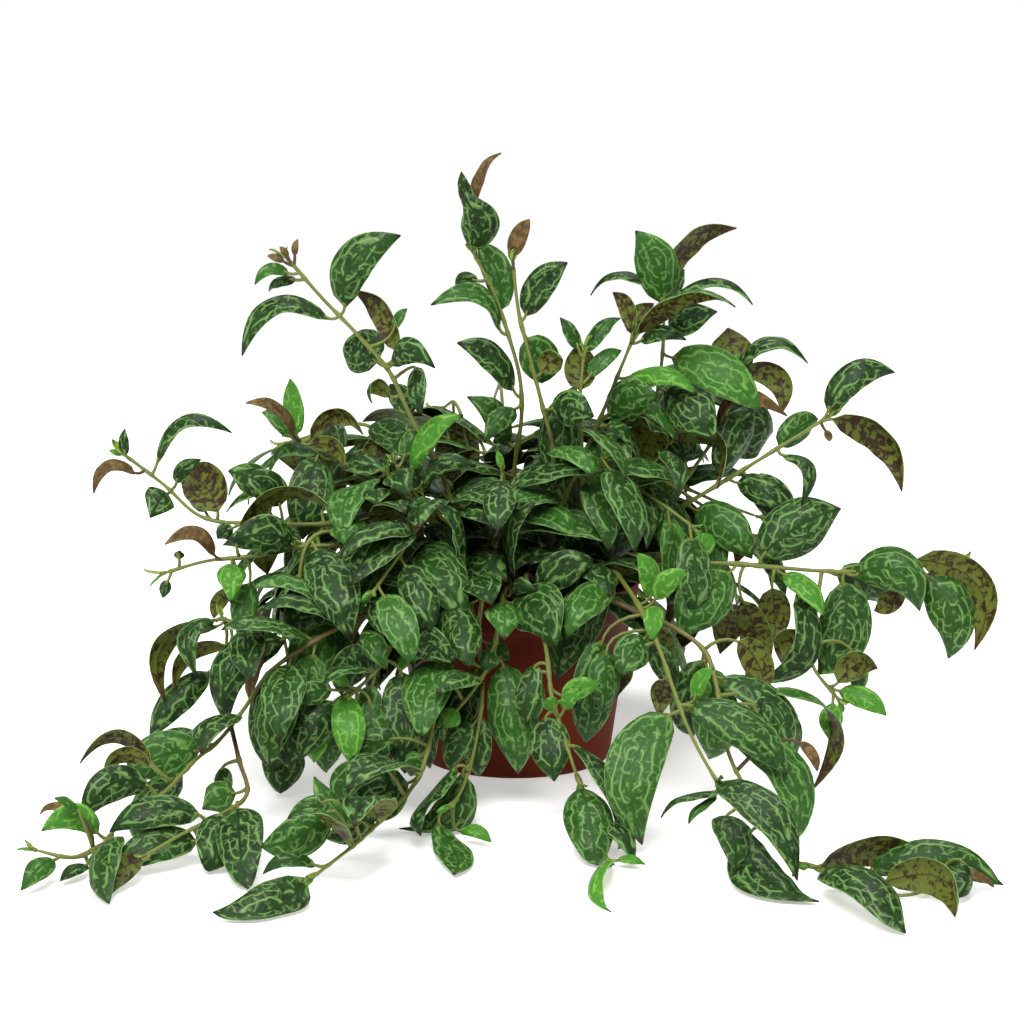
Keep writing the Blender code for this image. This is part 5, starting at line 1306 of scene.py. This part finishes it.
class Shell:
    """Vertices, faces, materials and per-point values of one piece while it grows."""

    def __init__(self):
        self.verts, self.faces, self.skins, self.values = [], [], [], []
        self.count = 0

    def add(self, verts, faces, skin, values):
        self.verts.append(verts)
        self.values.append(values)
        self.faces += [tuple(int(corner) + self.count for corner in face) for face in faces]
        self.skins += [int(s) for s in skin]
        self.count += len(verts)

    def piece(self, name, materials):
        mesh = bpy.data.meshes.new(name)
        mesh.from_pydata(np.concatenate(self.verts).tolist(), [], self.faces)
        mesh.polygons.foreach_set("material_index", self.skins)
        mesh.polygons.foreach_set("use_smooth", [True] * len(self.faces))
        values = np.concatenate(self.values)
        for index, key in enumerate(("blade", "net", "leaf")):
            layer = mesh.attributes.new(key, "FLOAT_VECTOR", "POINT")
            layer.data.foreach_set("vector", values[:, index * 3 : index * 3 + 3].ravel().astype(np.float32))
        for material in materials:
            mesh.materials.append(material)
        mesh.update()
        return put(name, mesh)


def contour_distance(along, sideways, width):
    """Distance in mm from a blade's middle, by which contours run beside the margin.

    It is half the width times the root of (s^2 + ((t - 0.56) / 0.54)^2), at t along the blade and s across
    it as a share of the half width.
    """
    ahead = (along - MARBLING_MIDDLE) / MARBLING_REACH
    return np.hypot(sideways, ahead) * width / 2 / MM


def point_values(*values):
    """One row of values for each point, from arrays and from numbers that all points share."""
    return np.stack(np.broadcast_arrays(*values), axis=-1)


def foliage_piece(stem, index, materials):
    """One stem with its twigs, stalks, blades and buds. The point values are:

    blade = along and across the blade, half width in mm; net = mm along and out from the midrib, and the
    distance that its contours follow; leaf = its own random value, how young it is, how dry it is.
    """
    draw = np.random.default_rng(GROWN_SEED + index)
    buds = [bud for line in stem.lines for bud in bud_leaves(line, random.Random(index))]
    leaves = stem.leaves + buds
    shell = Shell()
    verts, faces, skin, along, across, wide, long = blade_meshes(leaves, draw)
    for k, leaf in enumerate(leaves):
        own = draw.uniform()
        unfolding = draw.uniform(*(UNFOLDING if leaf.width < GROWN_UP else YOUNG))
        young = {"young": unfolding, "top": draw.uniform(*MATURE) ** MATURE_POWER}.get(leaf.kind, 0.0)
        dry = 1.0 if leaf.kind == "dead" else 0.0
        out_mm = np.abs(across[k]) * wide[k] / MM
        contour = contour_distance(along[k], across[k] * wide[k] / leaf.width * 2, leaf.width)
        values = point_values(
            along[k], across[k], wide[k] / MM, along[k] * long[k] / MM, out_mm, contour, own, young, dry
        )
        leaf_skin = np.full(len(skin), DRY_SKIN) if dry else skin
        shell.add(verts[k], faces, leaf_skin, values)
        radii = np.linspace(*STALK_RADII, STALK_RINGS)
        add_tube(shell, petiole_path(leaf), radii, PETIOLE_SIDES, own, STALK_YOUNG, dry)
    for number, line in enumerate(stem.lines):
        roots = [leaf.root for leaf in stem.leaves]
        path, radii = stem_tube(line, roots, BARK_RADIUS * (TWIG_SHARE if number else 1.0))
        add_tube(shell, path, radii, STEM_TUBE_SIDES, draw.uniform(), None, 0.0)
    piece = shell.piece(stem.name.replace("_stem", "_foliage"), materials)
    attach(piece, "root")
    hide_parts(stem.name)
    return piece


def add_tube(shell, path, radii, sides, own, young, dry):
    """Add a tube whose bark turns from brown at its foot to green at its end, or is `young` throughout."""
    verts, faces = tube_mesh(path, radii, sides)
    share = np.repeat(np.linspace(0, 1, len(path)), sides)
    steps = np.linalg.norm(np.diff(path, axis=0), axis=1)
    distance = np.repeat(np.concatenate([[0], np.cumsum(steps)]), sides)
    turn = np.tile(np.arange(sides) / sides, len(path))
    fresh = share if young is None else young
    apart = own * OWN_SHIFT
    values = point_values(share, turn, 1.0, distance / MM, turn * TURN_MM, apart, own, fresh, dry)
    shell.add(verts, faces, [STEM_SKIN] * len(faces), values)


def end_fans(spot, after_last, before_first):
    """Triangles from a middle point to the last ring, and from another to the first ring the other way."""
    first, last = spot[0].tolist(), spot[-1].tolist()
    fans = [(before_first, b, a) for a, b in zip(first, first[1:] + first[:1])]
    return fans + [(after_last, a, b) for a, b in zip(last, last[1:] + last[:1])]


def lathe(profile, sides):
    """Closed solid turned about Z: rings of the profile's (radius, height) points, from axis to axis."""
    profile = np.array(profile)
    turn = np.linspace(0, 2 * np.pi, sides, endpoint=False)
    ring = np.stack([np.cos(turn), np.sin(turn)], axis=-1)
    inner = profile[1:-1]
    flat = (inner[:, None, :1] * ring[None]).reshape(-1, 2)
    verts = np.column_stack([flat, np.repeat(inner[:, 1], sides)])
    verts = np.vstack([verts, [0, 0, profile[0, 1]], [0, 0, profile[-1, 1]]])
    quads, spot = ring_quads(len(inner), sides)
    return verts, quads.tolist() + end_fans(spot, len(verts) - 1, len(verts) - 2)


def arc(centre, radius, first, last, count):
    """Points of a round corner in a profile, by angle in degrees."""
    turn = np.radians(np.linspace(first, last, count))
    return [(centre[0] + radius * math.cos(a), centre[1] + radius * math.sin(a)) for a in turn]


def plain_mesh(name, verts, faces, material, smooth_angle=40):
    """Object from arrays, shaded smooth except at sharp corners."""
    mesh = bpy.data.meshes.new(name)
    mesh.from_pydata([tuple(v) for v in verts], [], [tuple(face) for face in faces])
    mesh.materials.append(material)
    mesh.shade_smooth()
    mesh.set_sharp_from_angle(angle=math.radians(smooth_angle))
    return put(name, mesh)


def cut_holes(thing, cutters):
    """Cut all the cutters out of a piece and remove them."""
    group = bpy.data.collections.new("cutters")
    for cutter in cutters:
        bpy.context.scene.collection.objects.unlink(cutter)
        group.objects.link(cutter)
    bpy.context.scene.collection.children.link(group)
    step = thing.modifiers.new("Holes", "BOOLEAN")
    step.operation = "DIFFERENCE"
    step.operand_type = "COLLECTION"
    step.collection = group
    shape = thing.evaluated_get(bpy.context.evaluated_depsgraph_get())
    cut = bpy.data.meshes.new_from_object(shape)
    thing.modifiers.remove(step)
    thing.data = cut
    for cutter in cutters:
        bpy.data.objects.remove(cutter, do_unlink=True)
    bpy.data.collections.remove(group)


def make_pot(material):
    """Moulded nursery pot: tapered wall, rim band with rounded edges, foot ring and drainage holes."""
    band = POT_HEIGHT - RIM_BAND_HEIGHT
    lip, mouth = wall_radius(POT_HEIGHT) + RIM_BAND_STEP, POT_MOUTH_RADIUS - POT_WALL
    profile = [(0, 0), (POT_BASE_RADIUS - 0.0035, 0)]
    profile += arc((POT_BASE_RADIUS - FOOT_ROUND, FOOT_ROUND), FOOT_ROUND, -90, -8, 6)
    profile += [(wall_radius(h), h) for h in np.linspace(0.006, band - 0.003, 14)]
    profile += [(wall_radius(band) + 0.0004, band - 0.0012)]
    profile += [(wall_radius(band) + RIM_BAND_STEP - 0.0005, band - 0.0003)]
    outside = np.linspace(band + 0.0008, POT_HEIGHT - 0.002, 5)
    profile += [(wall_radius(h) + RIM_BAND_STEP, h) for h in outside]
    profile += arc((lip - LIP_ROUND, POT_HEIGHT - LIP_ROUND), LIP_ROUND, 5, 90, 5)
    profile += arc((mouth + MOUTH_ROUND, POT_HEIGHT - MOUTH_ROUND), MOUTH_ROUND, 90, 178, 5)
    inside = np.linspace(POT_HEIGHT - 0.003, POT_FLOOR + 0.001, 10)
    profile += [(wall_radius(h) - POT_WALL, h) for h in inside]
    profile += [(POT_BASE_RADIUS - POT_WALL - 0.001, POT_FLOOR), (0, POT_FLOOR)]
    pot = plain_mesh("nursery_pot", *lathe(profile, POT_TURNS), material)
    cutters = []
    for k in range(DRAIN_HOLES):
        turn = math.tau * (k + 0.5) / DRAIN_HOLES
        centre = np.array([DRAIN_RING_RADIUS * math.cos(turn), DRAIN_RING_RADIUS * math.sin(turn), -0.004])
        path = centre + np.array([[0, 0, 0], [0, 0, 0.012]])
        tube_parts = tube_mesh(path, np.full(2, DRAIN_HOLE_RADIUS), HOLE_SIDES)
        cutters.append(plain_mesh("cutter", *tube_parts, material))
    cut_holes(pot, cutters)
    pot.data.set_sharp_from_angle(angle=math.radians(40))
    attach(pot, "root")
    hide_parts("pot")
    return pot


def soil_height(x, y):
    """Height of the soil: a low dome with lumps, as sums of sines of unlike lengths."""
    dome = SOIL_DOME * DOME_SHARE * (1 - (x**2 + y**2) / POT_MOUTH_RADIUS**2)
    lumps = 0.0012 * np.sin(x * 310 + 1.2) * np.sin(y * 270 + 0.4) + 0.0008 * np.sin(x * 730 + y * 410)
    grains = 0.0004 * np.sin(x * 1900 + 2.0) * np.sin(y * 2300 + x * 900)
    return SOIL_TOP + dome + lumps + grains


def make_soil(material, chip_material):
    """Potting mix: a lumpy disc that fills the pot, with bark chips lying on it."""
    rings = np.linspace(0, 1, SOIL_RINGS)[1:]
    turns = np.linspace(0, 2 * np.pi, SOIL_TURNS, endpoint=False)
    top_radius = soil_radius(SOIL_TOP)
    x = top_radius * rings[:, None] * np.cos(turns)[None]
    y = top_radius * rings[:, None] * np.sin(turns)[None]
    top = np.stack([x, y, soil_height(x, y)], axis=-1)
    levels = np.linspace(SOIL_TOP - SOIL_SHOULDER, POT_FLOOR + SOIL_GAP, 5)[:, None]
    x, y = soil_radius(levels) * np.cos(turns), soil_radius(levels) * np.sin(turns)
    grid = np.concatenate([top, np.stack([x, y, levels + 0 * turns], axis=-1)])
    verts = np.vstack([grid.reshape(-1, 3), [[0, 0, soil_height(0.0, 0.0)], [0, 0, POT_FLOOR + SOIL_GAP]]])
    spot = np.arange(grid.shape[0] * len(turns)).reshape(grid.shape[0], -1)
    beside = np.roll(spot, -1, axis=1)
    faces = np.stack([spot[:-1], spot[1:], beside[1:], beside[:-1]], axis=-1).reshape(-1, 4).tolist()
    centre, bottom = len(verts) - 2, len(verts) - 1
    faces += [(centre, int(a), int(b)) for a, b in zip(spot[0], beside[0])]
    faces += [(bottom, int(b), int(a)) for a, b in zip(spot[-1], beside[-1])]
    soil = plain_mesh("potting_soil", verts, faces, material, 80)
    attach(soil, "root")
    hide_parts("soil")
    chips = make_chips(chip_material)
    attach(chips, "root")


def make_chips(material):
    """Bark chips and grit: small boxes with shifted corners, half sunk in the soil's top."""
    draw = np.random.default_rng(GROWN_SEED)
    corners = np.array([(x, y, z) for z in (-1, 1) for y in (-1, 1) for x in (-1, 1)], float)
    box_faces = np.array([(0, 2, 3, 1), (4, 5, 7, 6), (0, 1, 5, 4), (2, 6, 7, 3), (0, 4, 6, 2), (1, 3, 7, 5)])
    size = draw.uniform(CHIP_SMALLEST, CHIP_LARGEST, (CHIP_COUNT, 3)) / 2
    shape = corners[None] * size[:, None] * draw.uniform(0.6, 1.0, (CHIP_COUNT, 8, 3))
    turn = draw.uniform(0, 2 * np.pi, CHIP_COUNT)[:, None]
    tilt = draw.uniform(-0.4, 0.4, CHIP_COUNT)[:, None]
    x, y, z = shape[..., 0], shape[..., 1], shape[..., 2]
    x, z = x * np.cos(tilt) + z * np.sin(tilt), z * np.cos(tilt) - x * np.sin(tilt)
    x, y = x * np.cos(turn) - y * np.sin(turn), x * np.sin(turn) + y * np.cos(turn)
    radius = (soil_radius(SOIL_TOP) - SOIL_SHOULDER) * np.sqrt(draw.uniform(0, 1, CHIP_COUNT))[:, None]
    angle = draw.uniform(0, 2 * np.pi, CHIP_COUNT)[:, None]
    at_x, at_y = radius * np.cos(angle), radius * np.sin(angle)
    verts = np.stack([x + at_x, y + at_y, z + soil_height(at_x, at_y) + CHIP_LIFT], axis=-1).reshape(-1, 3)
    faces = (box_faces[None] + 8 * np.arange(CHIP_COUNT)[:, None, None]).reshape(-1, 4).tolist()
    return plain_mesh("bark_chips", verts, faces, material, 20)


def linear(hex_colour):
    """Linear RGBA of an sRGB hex colour."""
    channels = [int(hex_colour[k : k + 2], 16) / 255 for k in (0, 2, 4)]
    return tuple(c / 12.92 if c <= 0.04045 else ((c + 0.055) / 1.055) ** 2.4 for c in channels) + (1.0,)


def node(tree, kind, settings=None, **links):
    """Add a shader node. Links are given by input name, or by number as in_N, with a socket or a constant."""
    made = tree.nodes.new(kind)
    for key, value in (settings or {}).items():
        setattr(made, key, value)
    for key, value in links.items():
        socket = made.inputs[int(key[3:])] if key.startswith("in_") else made.inputs[key.replace("_", " ")]
        if isinstance(value, bpy.types.NodeSocket):
            tree.links.new(value, socket)
        else:
            socket.default_value = value
    return made


def new_material(name, roughness, specular=0.5):
    """Material with a Principled shader whose even values sit on its own sockets."""
    material = bpy.data.materials.new(name)
    material.use_nodes = True
    tree = material.node_tree
    shader = tree.nodes["Principled BSDF"]
    shader.inputs["Roughness"].default_value = roughness
    shader.inputs["Specular IOR Level"].default_value = specular
    return material, tree, shader


def finish_material(material, colour, height, strength, depth, roughness=None):
    """Link a colour, a bump of a strength and a depth in metres, and a roughness if it varies."""
    tree = material.node_tree
    shader = tree.nodes["Principled BSDF"]
    tree.links.new(colour, shader.inputs["Base Color"])
    if roughness:
        tree.links.new(roughness, shader.inputs["Roughness"])
    bump = node(tree, "ShaderNodeBump", None, Strength=strength, Distance=depth, Height=height).outputs[0]
    tree.links.new(bump, shader.inputs["Normal"])
    return material


def math_node(tree, operation, first, second=0.5):
    """Value of one sum of two sockets or numbers."""
    return node(tree, "ShaderNodeMath", {"operation": operation}, in_0=first, in_1=second).outputs[0]


def times(tree, first, second):
    """Product of two sockets or numbers."""
    return math_node(tree, "MULTIPLY", first, second)


def plus(tree, first, second):
    """Sum of two sockets or numbers."""
    return math_node(tree, "ADD", first, second)


def size_of(tree, value):
    """Value without its sign."""
    return math_node(tree, "ABSOLUTE", value)


def vector_math(tree, operation, first, second):
    """Vector sum, difference or product of two vectors."""
    return node(tree, "ShaderNodeVectorMath", {"operation": operation}, in_0=first, in_1=second).outputs[0]


def mix_colour(tree, factor, first, second):
    """Colour between two, by a factor."""
    made = node(tree, "ShaderNodeMix", {"data_type": "RGBA"}, in_0=factor, in_6=first, in_7=second)
    return made.outputs[2]


def ramp(tree, value, low, high, first=0.0, last=1.0):
    """Value that goes smoothly from first to last as the input goes from low to high."""
    settings = {"interpolation_type": "SMOOTHSTEP"}
    made = node(tree, "ShaderNodeMapRange", settings, in_0=value, in_1=low, in_2=high, in_3=first, in_4=last)
    return made.outputs[0]


def leaf_values(tree):
    """Sockets of the point values."""
    triples = [
        node(tree, "ShaderNodeAttribute", {"attribute_name": key}).outputs["Vector"]
        for key in ("blade", "net", "leaf")
    ]
    blade, net, leaf = (node(tree, "ShaderNodeSeparateXYZ", in_0=triple).outputs for triple in triples)
    return Values(*blade, triples[1], *net, *leaf)


def noise(tree, vector, scale, detail=2.0, roughness=0.5, distortion=0.0):
    """Noise value on a vector, scale in turns for each unit."""
    kind = "ShaderNodeTexNoise"
    made = node(tree, kind, None, Vector=vector, Scale=scale, Detail=detail, Roughness=roughness)
    made.inputs["Distortion"].default_value = distortion
    return made.outputs["Fac"]


def shifted(tree, place, cell, warp):
    """Place moved sideways by noise of a cell's size."""
    shift = noise(tree, place, 1 / cell, 1.0).node.outputs["Color"]
    shift = vector_math(tree, "SUBTRACT", shift, (0.5, 0.5, 0.5))
    return vector_math(tree, "ADD", place, vector_math(tree, "MULTIPLY", shift, (warp, warp, 0)))


def broken_line(tree, off, place, cell, low, high):
    """Line where `off` is near nought, faded in and out over stretches of a cell's size."""
    share = ramp(tree, noise(tree, place, 1 / cell, 1.0), low, high)
    return times(tree, ramp(tree, off, 0.0, LINE_HALF, 1.0, 0.0), share)


def contour_lines(tree, contour, place, spacing, low, high):
    """Pale arcs beside the margin, a spacing apart in mm, that wander with noise and are broken."""
    wander = noise(tree, place, ARC_BEND / spacing, 1.0)
    height = plus(tree, math_node(tree, "DIVIDE", contour, spacing), times(tree, wander, ARC_WANDER))
    off = times(tree, math_node(tree, "PINGPONG", height, 0.5), spacing)
    return broken_line(tree, off, place, spacing, low, high)


def branch_lines(tree, place, cell, low, high):
    """Pale branches between the arcs: edges of bent cells of a real size in mm, broken too."""
    settings = {"feature": "DISTANCE_TO_EDGE", "voronoi_dimensions": "2D"}
    bent = shifted(tree, place, cell * 0.8, cell * 0.6)
    cells = node(tree, "ShaderNodeTexVoronoi", settings, Vector=bent, Scale=1 / cell, Randomness=1.0)
    return broken_line(tree, times(tree, cells.outputs["Distance"], cell), place, cell, low, high)


def half_shift(tree, across):
    """Shift that tells the two halves of a blade apart."""
    return times(tree, math_node(tree, "GREATER_THAN", across, 0.0), HALF_SHIFT)


def leaf_top_material():
    """Live leaf, upper side: waxy cuticle over dark flesh, marbled with pale green arcs and branches."""
    material, tree, _ = new_material("marbled_leaf_cuticle", 0.48, specular=0.16)
    at = leaf_values(tree)
    shift = plus(tree, times(tree, at.own, OWN_SHIFT), half_shift(tree, at.across))
    mm_along = plus(tree, at.mm_along, shift)
    spot = node(tree, "ShaderNodeCombineXYZ", in_0=mm_along, in_1=at.mm_out).outputs[0]
    patch = noise(tree, spot, 0.09)
    flesh = mix_colour(tree, ramp(tree, patch, 0.35, 0.65), linear(LEAF_DARK), linear(LEAF_MIDDLE))
    flesh = mix_colour(tree, ramp(tree, at.own, 0.4, 1.0, 0.0, 0.6), flesh, linear(LEAF_FRESH))
    flesh = mix_colour(tree, ramp(tree, at.young, 0.1, 0.9), flesh, linear(LEAF_YOUNG))
    arcs = contour_lines(tree, at.contour, spot, ARC_SPACING, 0.28, 0.46)
    branches = branch_lines(tree, spot, NET_CELL, 0.40, 0.56)
    twigs = branch_lines(tree, spot, NET_CELL * 0.5, 0.44, 0.62)
    lines = math_node(tree, "MAXIMUM", arcs, times(tree, branches, 0.8))
    lines = math_node(tree, "MAXIMUM", lines, times(tree, twigs, 0.4))
    from_midrib = times(tree, size_of(tree, at.across), at.wide)
    lines = times(tree, math_node(tree, "POWER", lines, 1.5), ramp(tree, from_midrib, 0.3, 1.6))
    pale = mix_colour(tree, ramp(tree, at.young, 0.1, 0.9), linear(NET_PALE), linear(NET_YOUNG))
    colour = mix_colour(tree, times(tree, lines, NET_STRENGTH), flesh, pale)
    rim = ramp(tree, size_of(tree, at.across), 0.955, 0.995, 0.0, 0.6)
    colour = mix_colour(tree, rim, colour, linear(MARGIN_PALE))
    foot = ramp(tree, at.along, 0.0, 0.07, 0.7, 0.0)
    colour = mix_colour(tree, foot, colour, linear(STALK_GREEN))
    colour = mix_colour(tree, ramp(tree, at.along, 0.95, 0.99), colour, linear(TIP_BROWN))
    grain = noise(tree, spot, 1.6)
    height = plus(tree, times(tree, lines, -0.35), times(tree, grain, 0.35))
    waxy = ramp(tree, patch, 0.3, 0.7, 0.42, 0.55)
    return finish_material(material, colour, height, 0.5, 0.00025, waxy)


def leaf_underside_material():
    """Live leaf, underside: matt olive flesh with purple-brown mottling that follows the side veins."""
    material, tree, _ = new_material("mottled_leaf_underside", 0.55, specular=0.2)
    at = leaf_values(tree)
    seed = plus(tree, times(tree, at.own, UNDER_SHIFT), half_shift(tree, at.across))
    seed_spot = node(tree, "ShaderNodeCombineXYZ", in_0=seed, in_1=seed, in_2=seed).outputs[0]
    spot = vector_math(tree, "ADD", at.net, seed_spot)
    blotch = noise(tree, vector_math(tree, "MULTIPLY", spot, (1, 0.3, 1)), 0.26, 2.5, 0.6, 0.6)
    share = math_node(tree, "SUBTRACT", blotch, ramp(tree, at.own, 0.0, 1.0, 0.56, 0.48))
    mottle = times(tree, ramp(tree, share, -0.06, 0.07), ramp(tree, at.young, 0.1, 0.8, 0.92, 0.0))
    olive = mix_colour(tree, ramp(tree, at.young, 0.1, 0.9), linear(UNDER_OLIVE), linear(UNDER_YOUNG))
    colour = mix_colour(tree, mottle, olive, linear(UNDER_MOTTLE))
    from_midrib = times(tree, size_of(tree, at.across), at.wide)
    colour = mix_colour(tree, ramp(tree, from_midrib, 0.3, 0.7, 0.6, 0.0), colour, linear(UNDER_MIDRIB))
    colour = mix_colour(tree, ramp(tree, at.along, 0.80, 1.0, 0.0, 0.8), colour, linear(UNDER_TIP))
    return finish_material(material, colour, noise(tree, spot, 1.2), 0.4, 0.00025)


def stem_material():
    """Half-woody stem: olive green, turning brown and rough towards its foot, with darker streaks."""
    material, tree, _ = new_material("half_woody_stem", 0.5, specular=0.4)
    at = leaf_values(tree)
    wander = times(tree, math_node(tree, "SUBTRACT", noise(tree, at.net, 0.06), 0.5), 0.9)
    own = times(tree, math_node(tree, "SUBTRACT", at.own, 0.5), 0.5)
    age = plus(tree, plus(tree, at.young, wander), own)
    colour = mix_colour(tree, ramp(tree, age, -0.2, 0.25), linear(BARK_BROWN), linear(BARK_TAN))
    colour = mix_colour(tree, ramp(tree, age, 0.0, 0.4), colour, linear(STALK_GREEN))
    grain = noise(tree, vector_math(tree, "MULTIPLY", at.net, (0.25, 1.5, 1)), 1.0, 3.0)
    colour = mix_colour(tree, ramp(tree, grain, 0.45, 0.75, 0.0, 0.35), colour, linear(BARK_DARK))
    colour = mix_colour(tree, at.dry, colour, linear(DRY_BROWN))
    return finish_material(material, colour, grain, 0.6, 0.0003)


def dry_leaf_material():
    """Dead leaf: papery, brown and crinkled, with paler patches."""
    material, tree, _ = new_material("dry_leaf_paper", 0.75, specular=0.2)
    net = leaf_values(tree).net
    patch = ramp(tree, noise(tree, net, 0.3, 3.0), 0.35, 0.7)
    colour = mix_colour(tree, patch, linear(DRY_BROWN), linear(DRY_TAN))
    return finish_material(material, colour, noise(tree, net, 0.8), 0.8, 0.0006)


def object_place(tree):
    """Socket of a point's place in metres."""
    return node(tree, "ShaderNodeTexCoord").outputs["Object"]


def pot_material():
    """Injection-moulded polypropylene, terracotta brown: satin, with faint flow lines and fine pimples."""
    material, tree, _ = new_material("terracotta_brown_polypropylene", 0.5, specular=0.08)
    place = object_place(tree)
    cloud = noise(tree, place, 22.0, 3.0)
    colour = mix_colour(tree, ramp(tree, cloud, 0.3, 0.7), linear(POT_DARK), linear(POT_BROWN))
    dust = ramp(tree, noise(tree, place, 160.0, 3.0), 0.6, 0.8, 0.0, 0.12)
    colour = mix_colour(tree, dust, colour, linear(POT_DUST))
    flow = noise(tree, vector_math(tree, "MULTIPLY", place, (6, 6, 420)), 1.0)
    height = plus(tree, flow, times(tree, noise(tree, place, 1300.0, 1.0), 0.4))
    satin = ramp(tree, cloud, 0.3, 0.7, 0.52, 0.64)
    return finish_material(material, colour, height, 0.25, 0.0002, satin)


def soil_material():
    """Moist peat potting mix: dark, matt and crumbly, with grains of about 1 mm."""
    material, tree, _ = new_material("moist_potting_mix", 0.92, specular=0.2)
    place = object_place(tree)
    grain = noise(tree, place, 900.0, 4.0, 0.65)
    colour = mix_colour(tree, ramp(tree, grain, 0.35, 0.7), linear(SOIL_DARK), linear(SOIL_BROWN))
    height = plus(tree, noise(tree, place, 120.0, 3.0), times(tree, grain, 0.5))
    return finish_material(material, colour, height, 0.9, 0.0012)


def chip_material():
    """Composted pine bark chips: fibrous and brown, in tones that differ from chip to chip."""
    material, tree, _ = new_material("composted_bark", 0.85, specular=0.2)
    place = object_place(tree)
    tone = ramp(tree, noise(tree, place, 180.0, 1.0), 0.35, 0.65)
    colour = mix_colour(tree, tone, linear(BARK_DARK), linear(CHIP_TAN))
    fibre = noise(tree, place, 1500.0, 3.0)
    colour = mix_colour(tree, ramp(tree, fibre, 0.4, 0.7, 0.0, 0.5), colour, linear(SOIL_DARK))
    return finish_material(material, colour, fibre, 0.7, 0.0003)


def floor_material():
    """Plain white studio paper, lit through from below as a light table is."""
    material, _, shader = new_material("studio_paper", 0.9, specular=0.1)
    shader.inputs["Base Color"].default_value = linear(PAPER)
    shader.inputs["Emission Color"].default_value = linear(PAPER)
    shader.inputs["Emission Strength"].default_value = PAPER_GLOW
    return material


def make_stage():
    """Pale floor: a wide round sheet, open to every side."""
    turn = np.linspace(0, 2 * np.pi, 96, endpoint=False)
    verts = np.stack([FLOOR_REACH * np.cos(turn), FLOOR_REACH * np.sin(turn), 0 * turn], axis=-1)
    floor = plain_mesh("paper_floor", verts, [tuple(range(len(turn)))], floor_material())


def add_light(name, place, aim, size, watts):
    """Square soft box at a place, turned to a point."""
    light = bpy.data.lights.new(name, "AREA")
    light.size = size
    light.energy = watts
    thing = put(name, light)
    thing.location = place
    thing.rotation_euler = (Vector(aim) - Vector(place)).to_track_quat("-Z", "Y").to_euler()


def make_light():
    """Even studio light: a large box over the front, one at each side, and a pale surround."""
    add_light("front_top_box", (-0.4, -1.5, 2.1), (0, 0, 0.15), 1.6, 86)
    add_light("left_box", (-2.0, -0.6, 1.0), (0, 0, 0.15), 1.4, 16)
    add_light("right_box", (2.0, -0.9, 1.2), (0, 0, 0.15), 1.4, 16)
    add_light("back_box", (0.3, 1.0, 2.3), (0, 0.4, 0.1), 1.4, 34)
    world = bpy.data.worlds.new("pale_surround")
    world.use_nodes = True
    tree = world.node_tree
    seen = node(tree, "ShaderNodeLightPath").outputs["Is Camera Ray"]
    background = tree.nodes["Background"]
    background.inputs["Color"].default_value = (1, 1, 1, 1)
    tree.links.new(math_node(tree, "MAXIMUM", seen, SURROUND), background.inputs["Strength"])
    bpy.context.scene.world = world


def make_camera():
    """Camera at the front drawing's eye, a little above the plant."""
    camera = bpy.data.cameras.new("camera")
    camera.lens = SHEET_DISTANCE * SENSOR / (2 * SHEET_CENTRE)
    camera.sensor_width = SENSOR
    thing = put("camera", camera)
    thing.location = EYE
    thing.rotation_euler = (math.pi / 2 - EYE_PITCH, 0, 0)
    bpy.context.scene.camera = thing


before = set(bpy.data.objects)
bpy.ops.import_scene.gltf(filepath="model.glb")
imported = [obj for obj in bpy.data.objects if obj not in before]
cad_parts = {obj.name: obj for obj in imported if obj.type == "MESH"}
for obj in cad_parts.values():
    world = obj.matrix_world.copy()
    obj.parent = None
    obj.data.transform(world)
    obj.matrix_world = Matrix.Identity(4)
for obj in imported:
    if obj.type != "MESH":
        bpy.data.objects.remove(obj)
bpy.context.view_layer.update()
room = Room()
room.add(*pot_and_soil(), "pot")
stems = lay_out_stems(room)
lay_out_leaves(stems, room)
add_inner_leaves(stems, room)
skins = [leaf_top_material(), leaf_underside_material(), stem_material(), dry_leaf_material()]
for number, stem in enumerate(stems):
    foliage_piece(stem, number, skins)
make_pot(pot_material())
make_soil(soil_material(), chip_material())
make_stage()
make_light()
make_camera()
bpy.context.scene.view_settings.view_transform = "Standard"
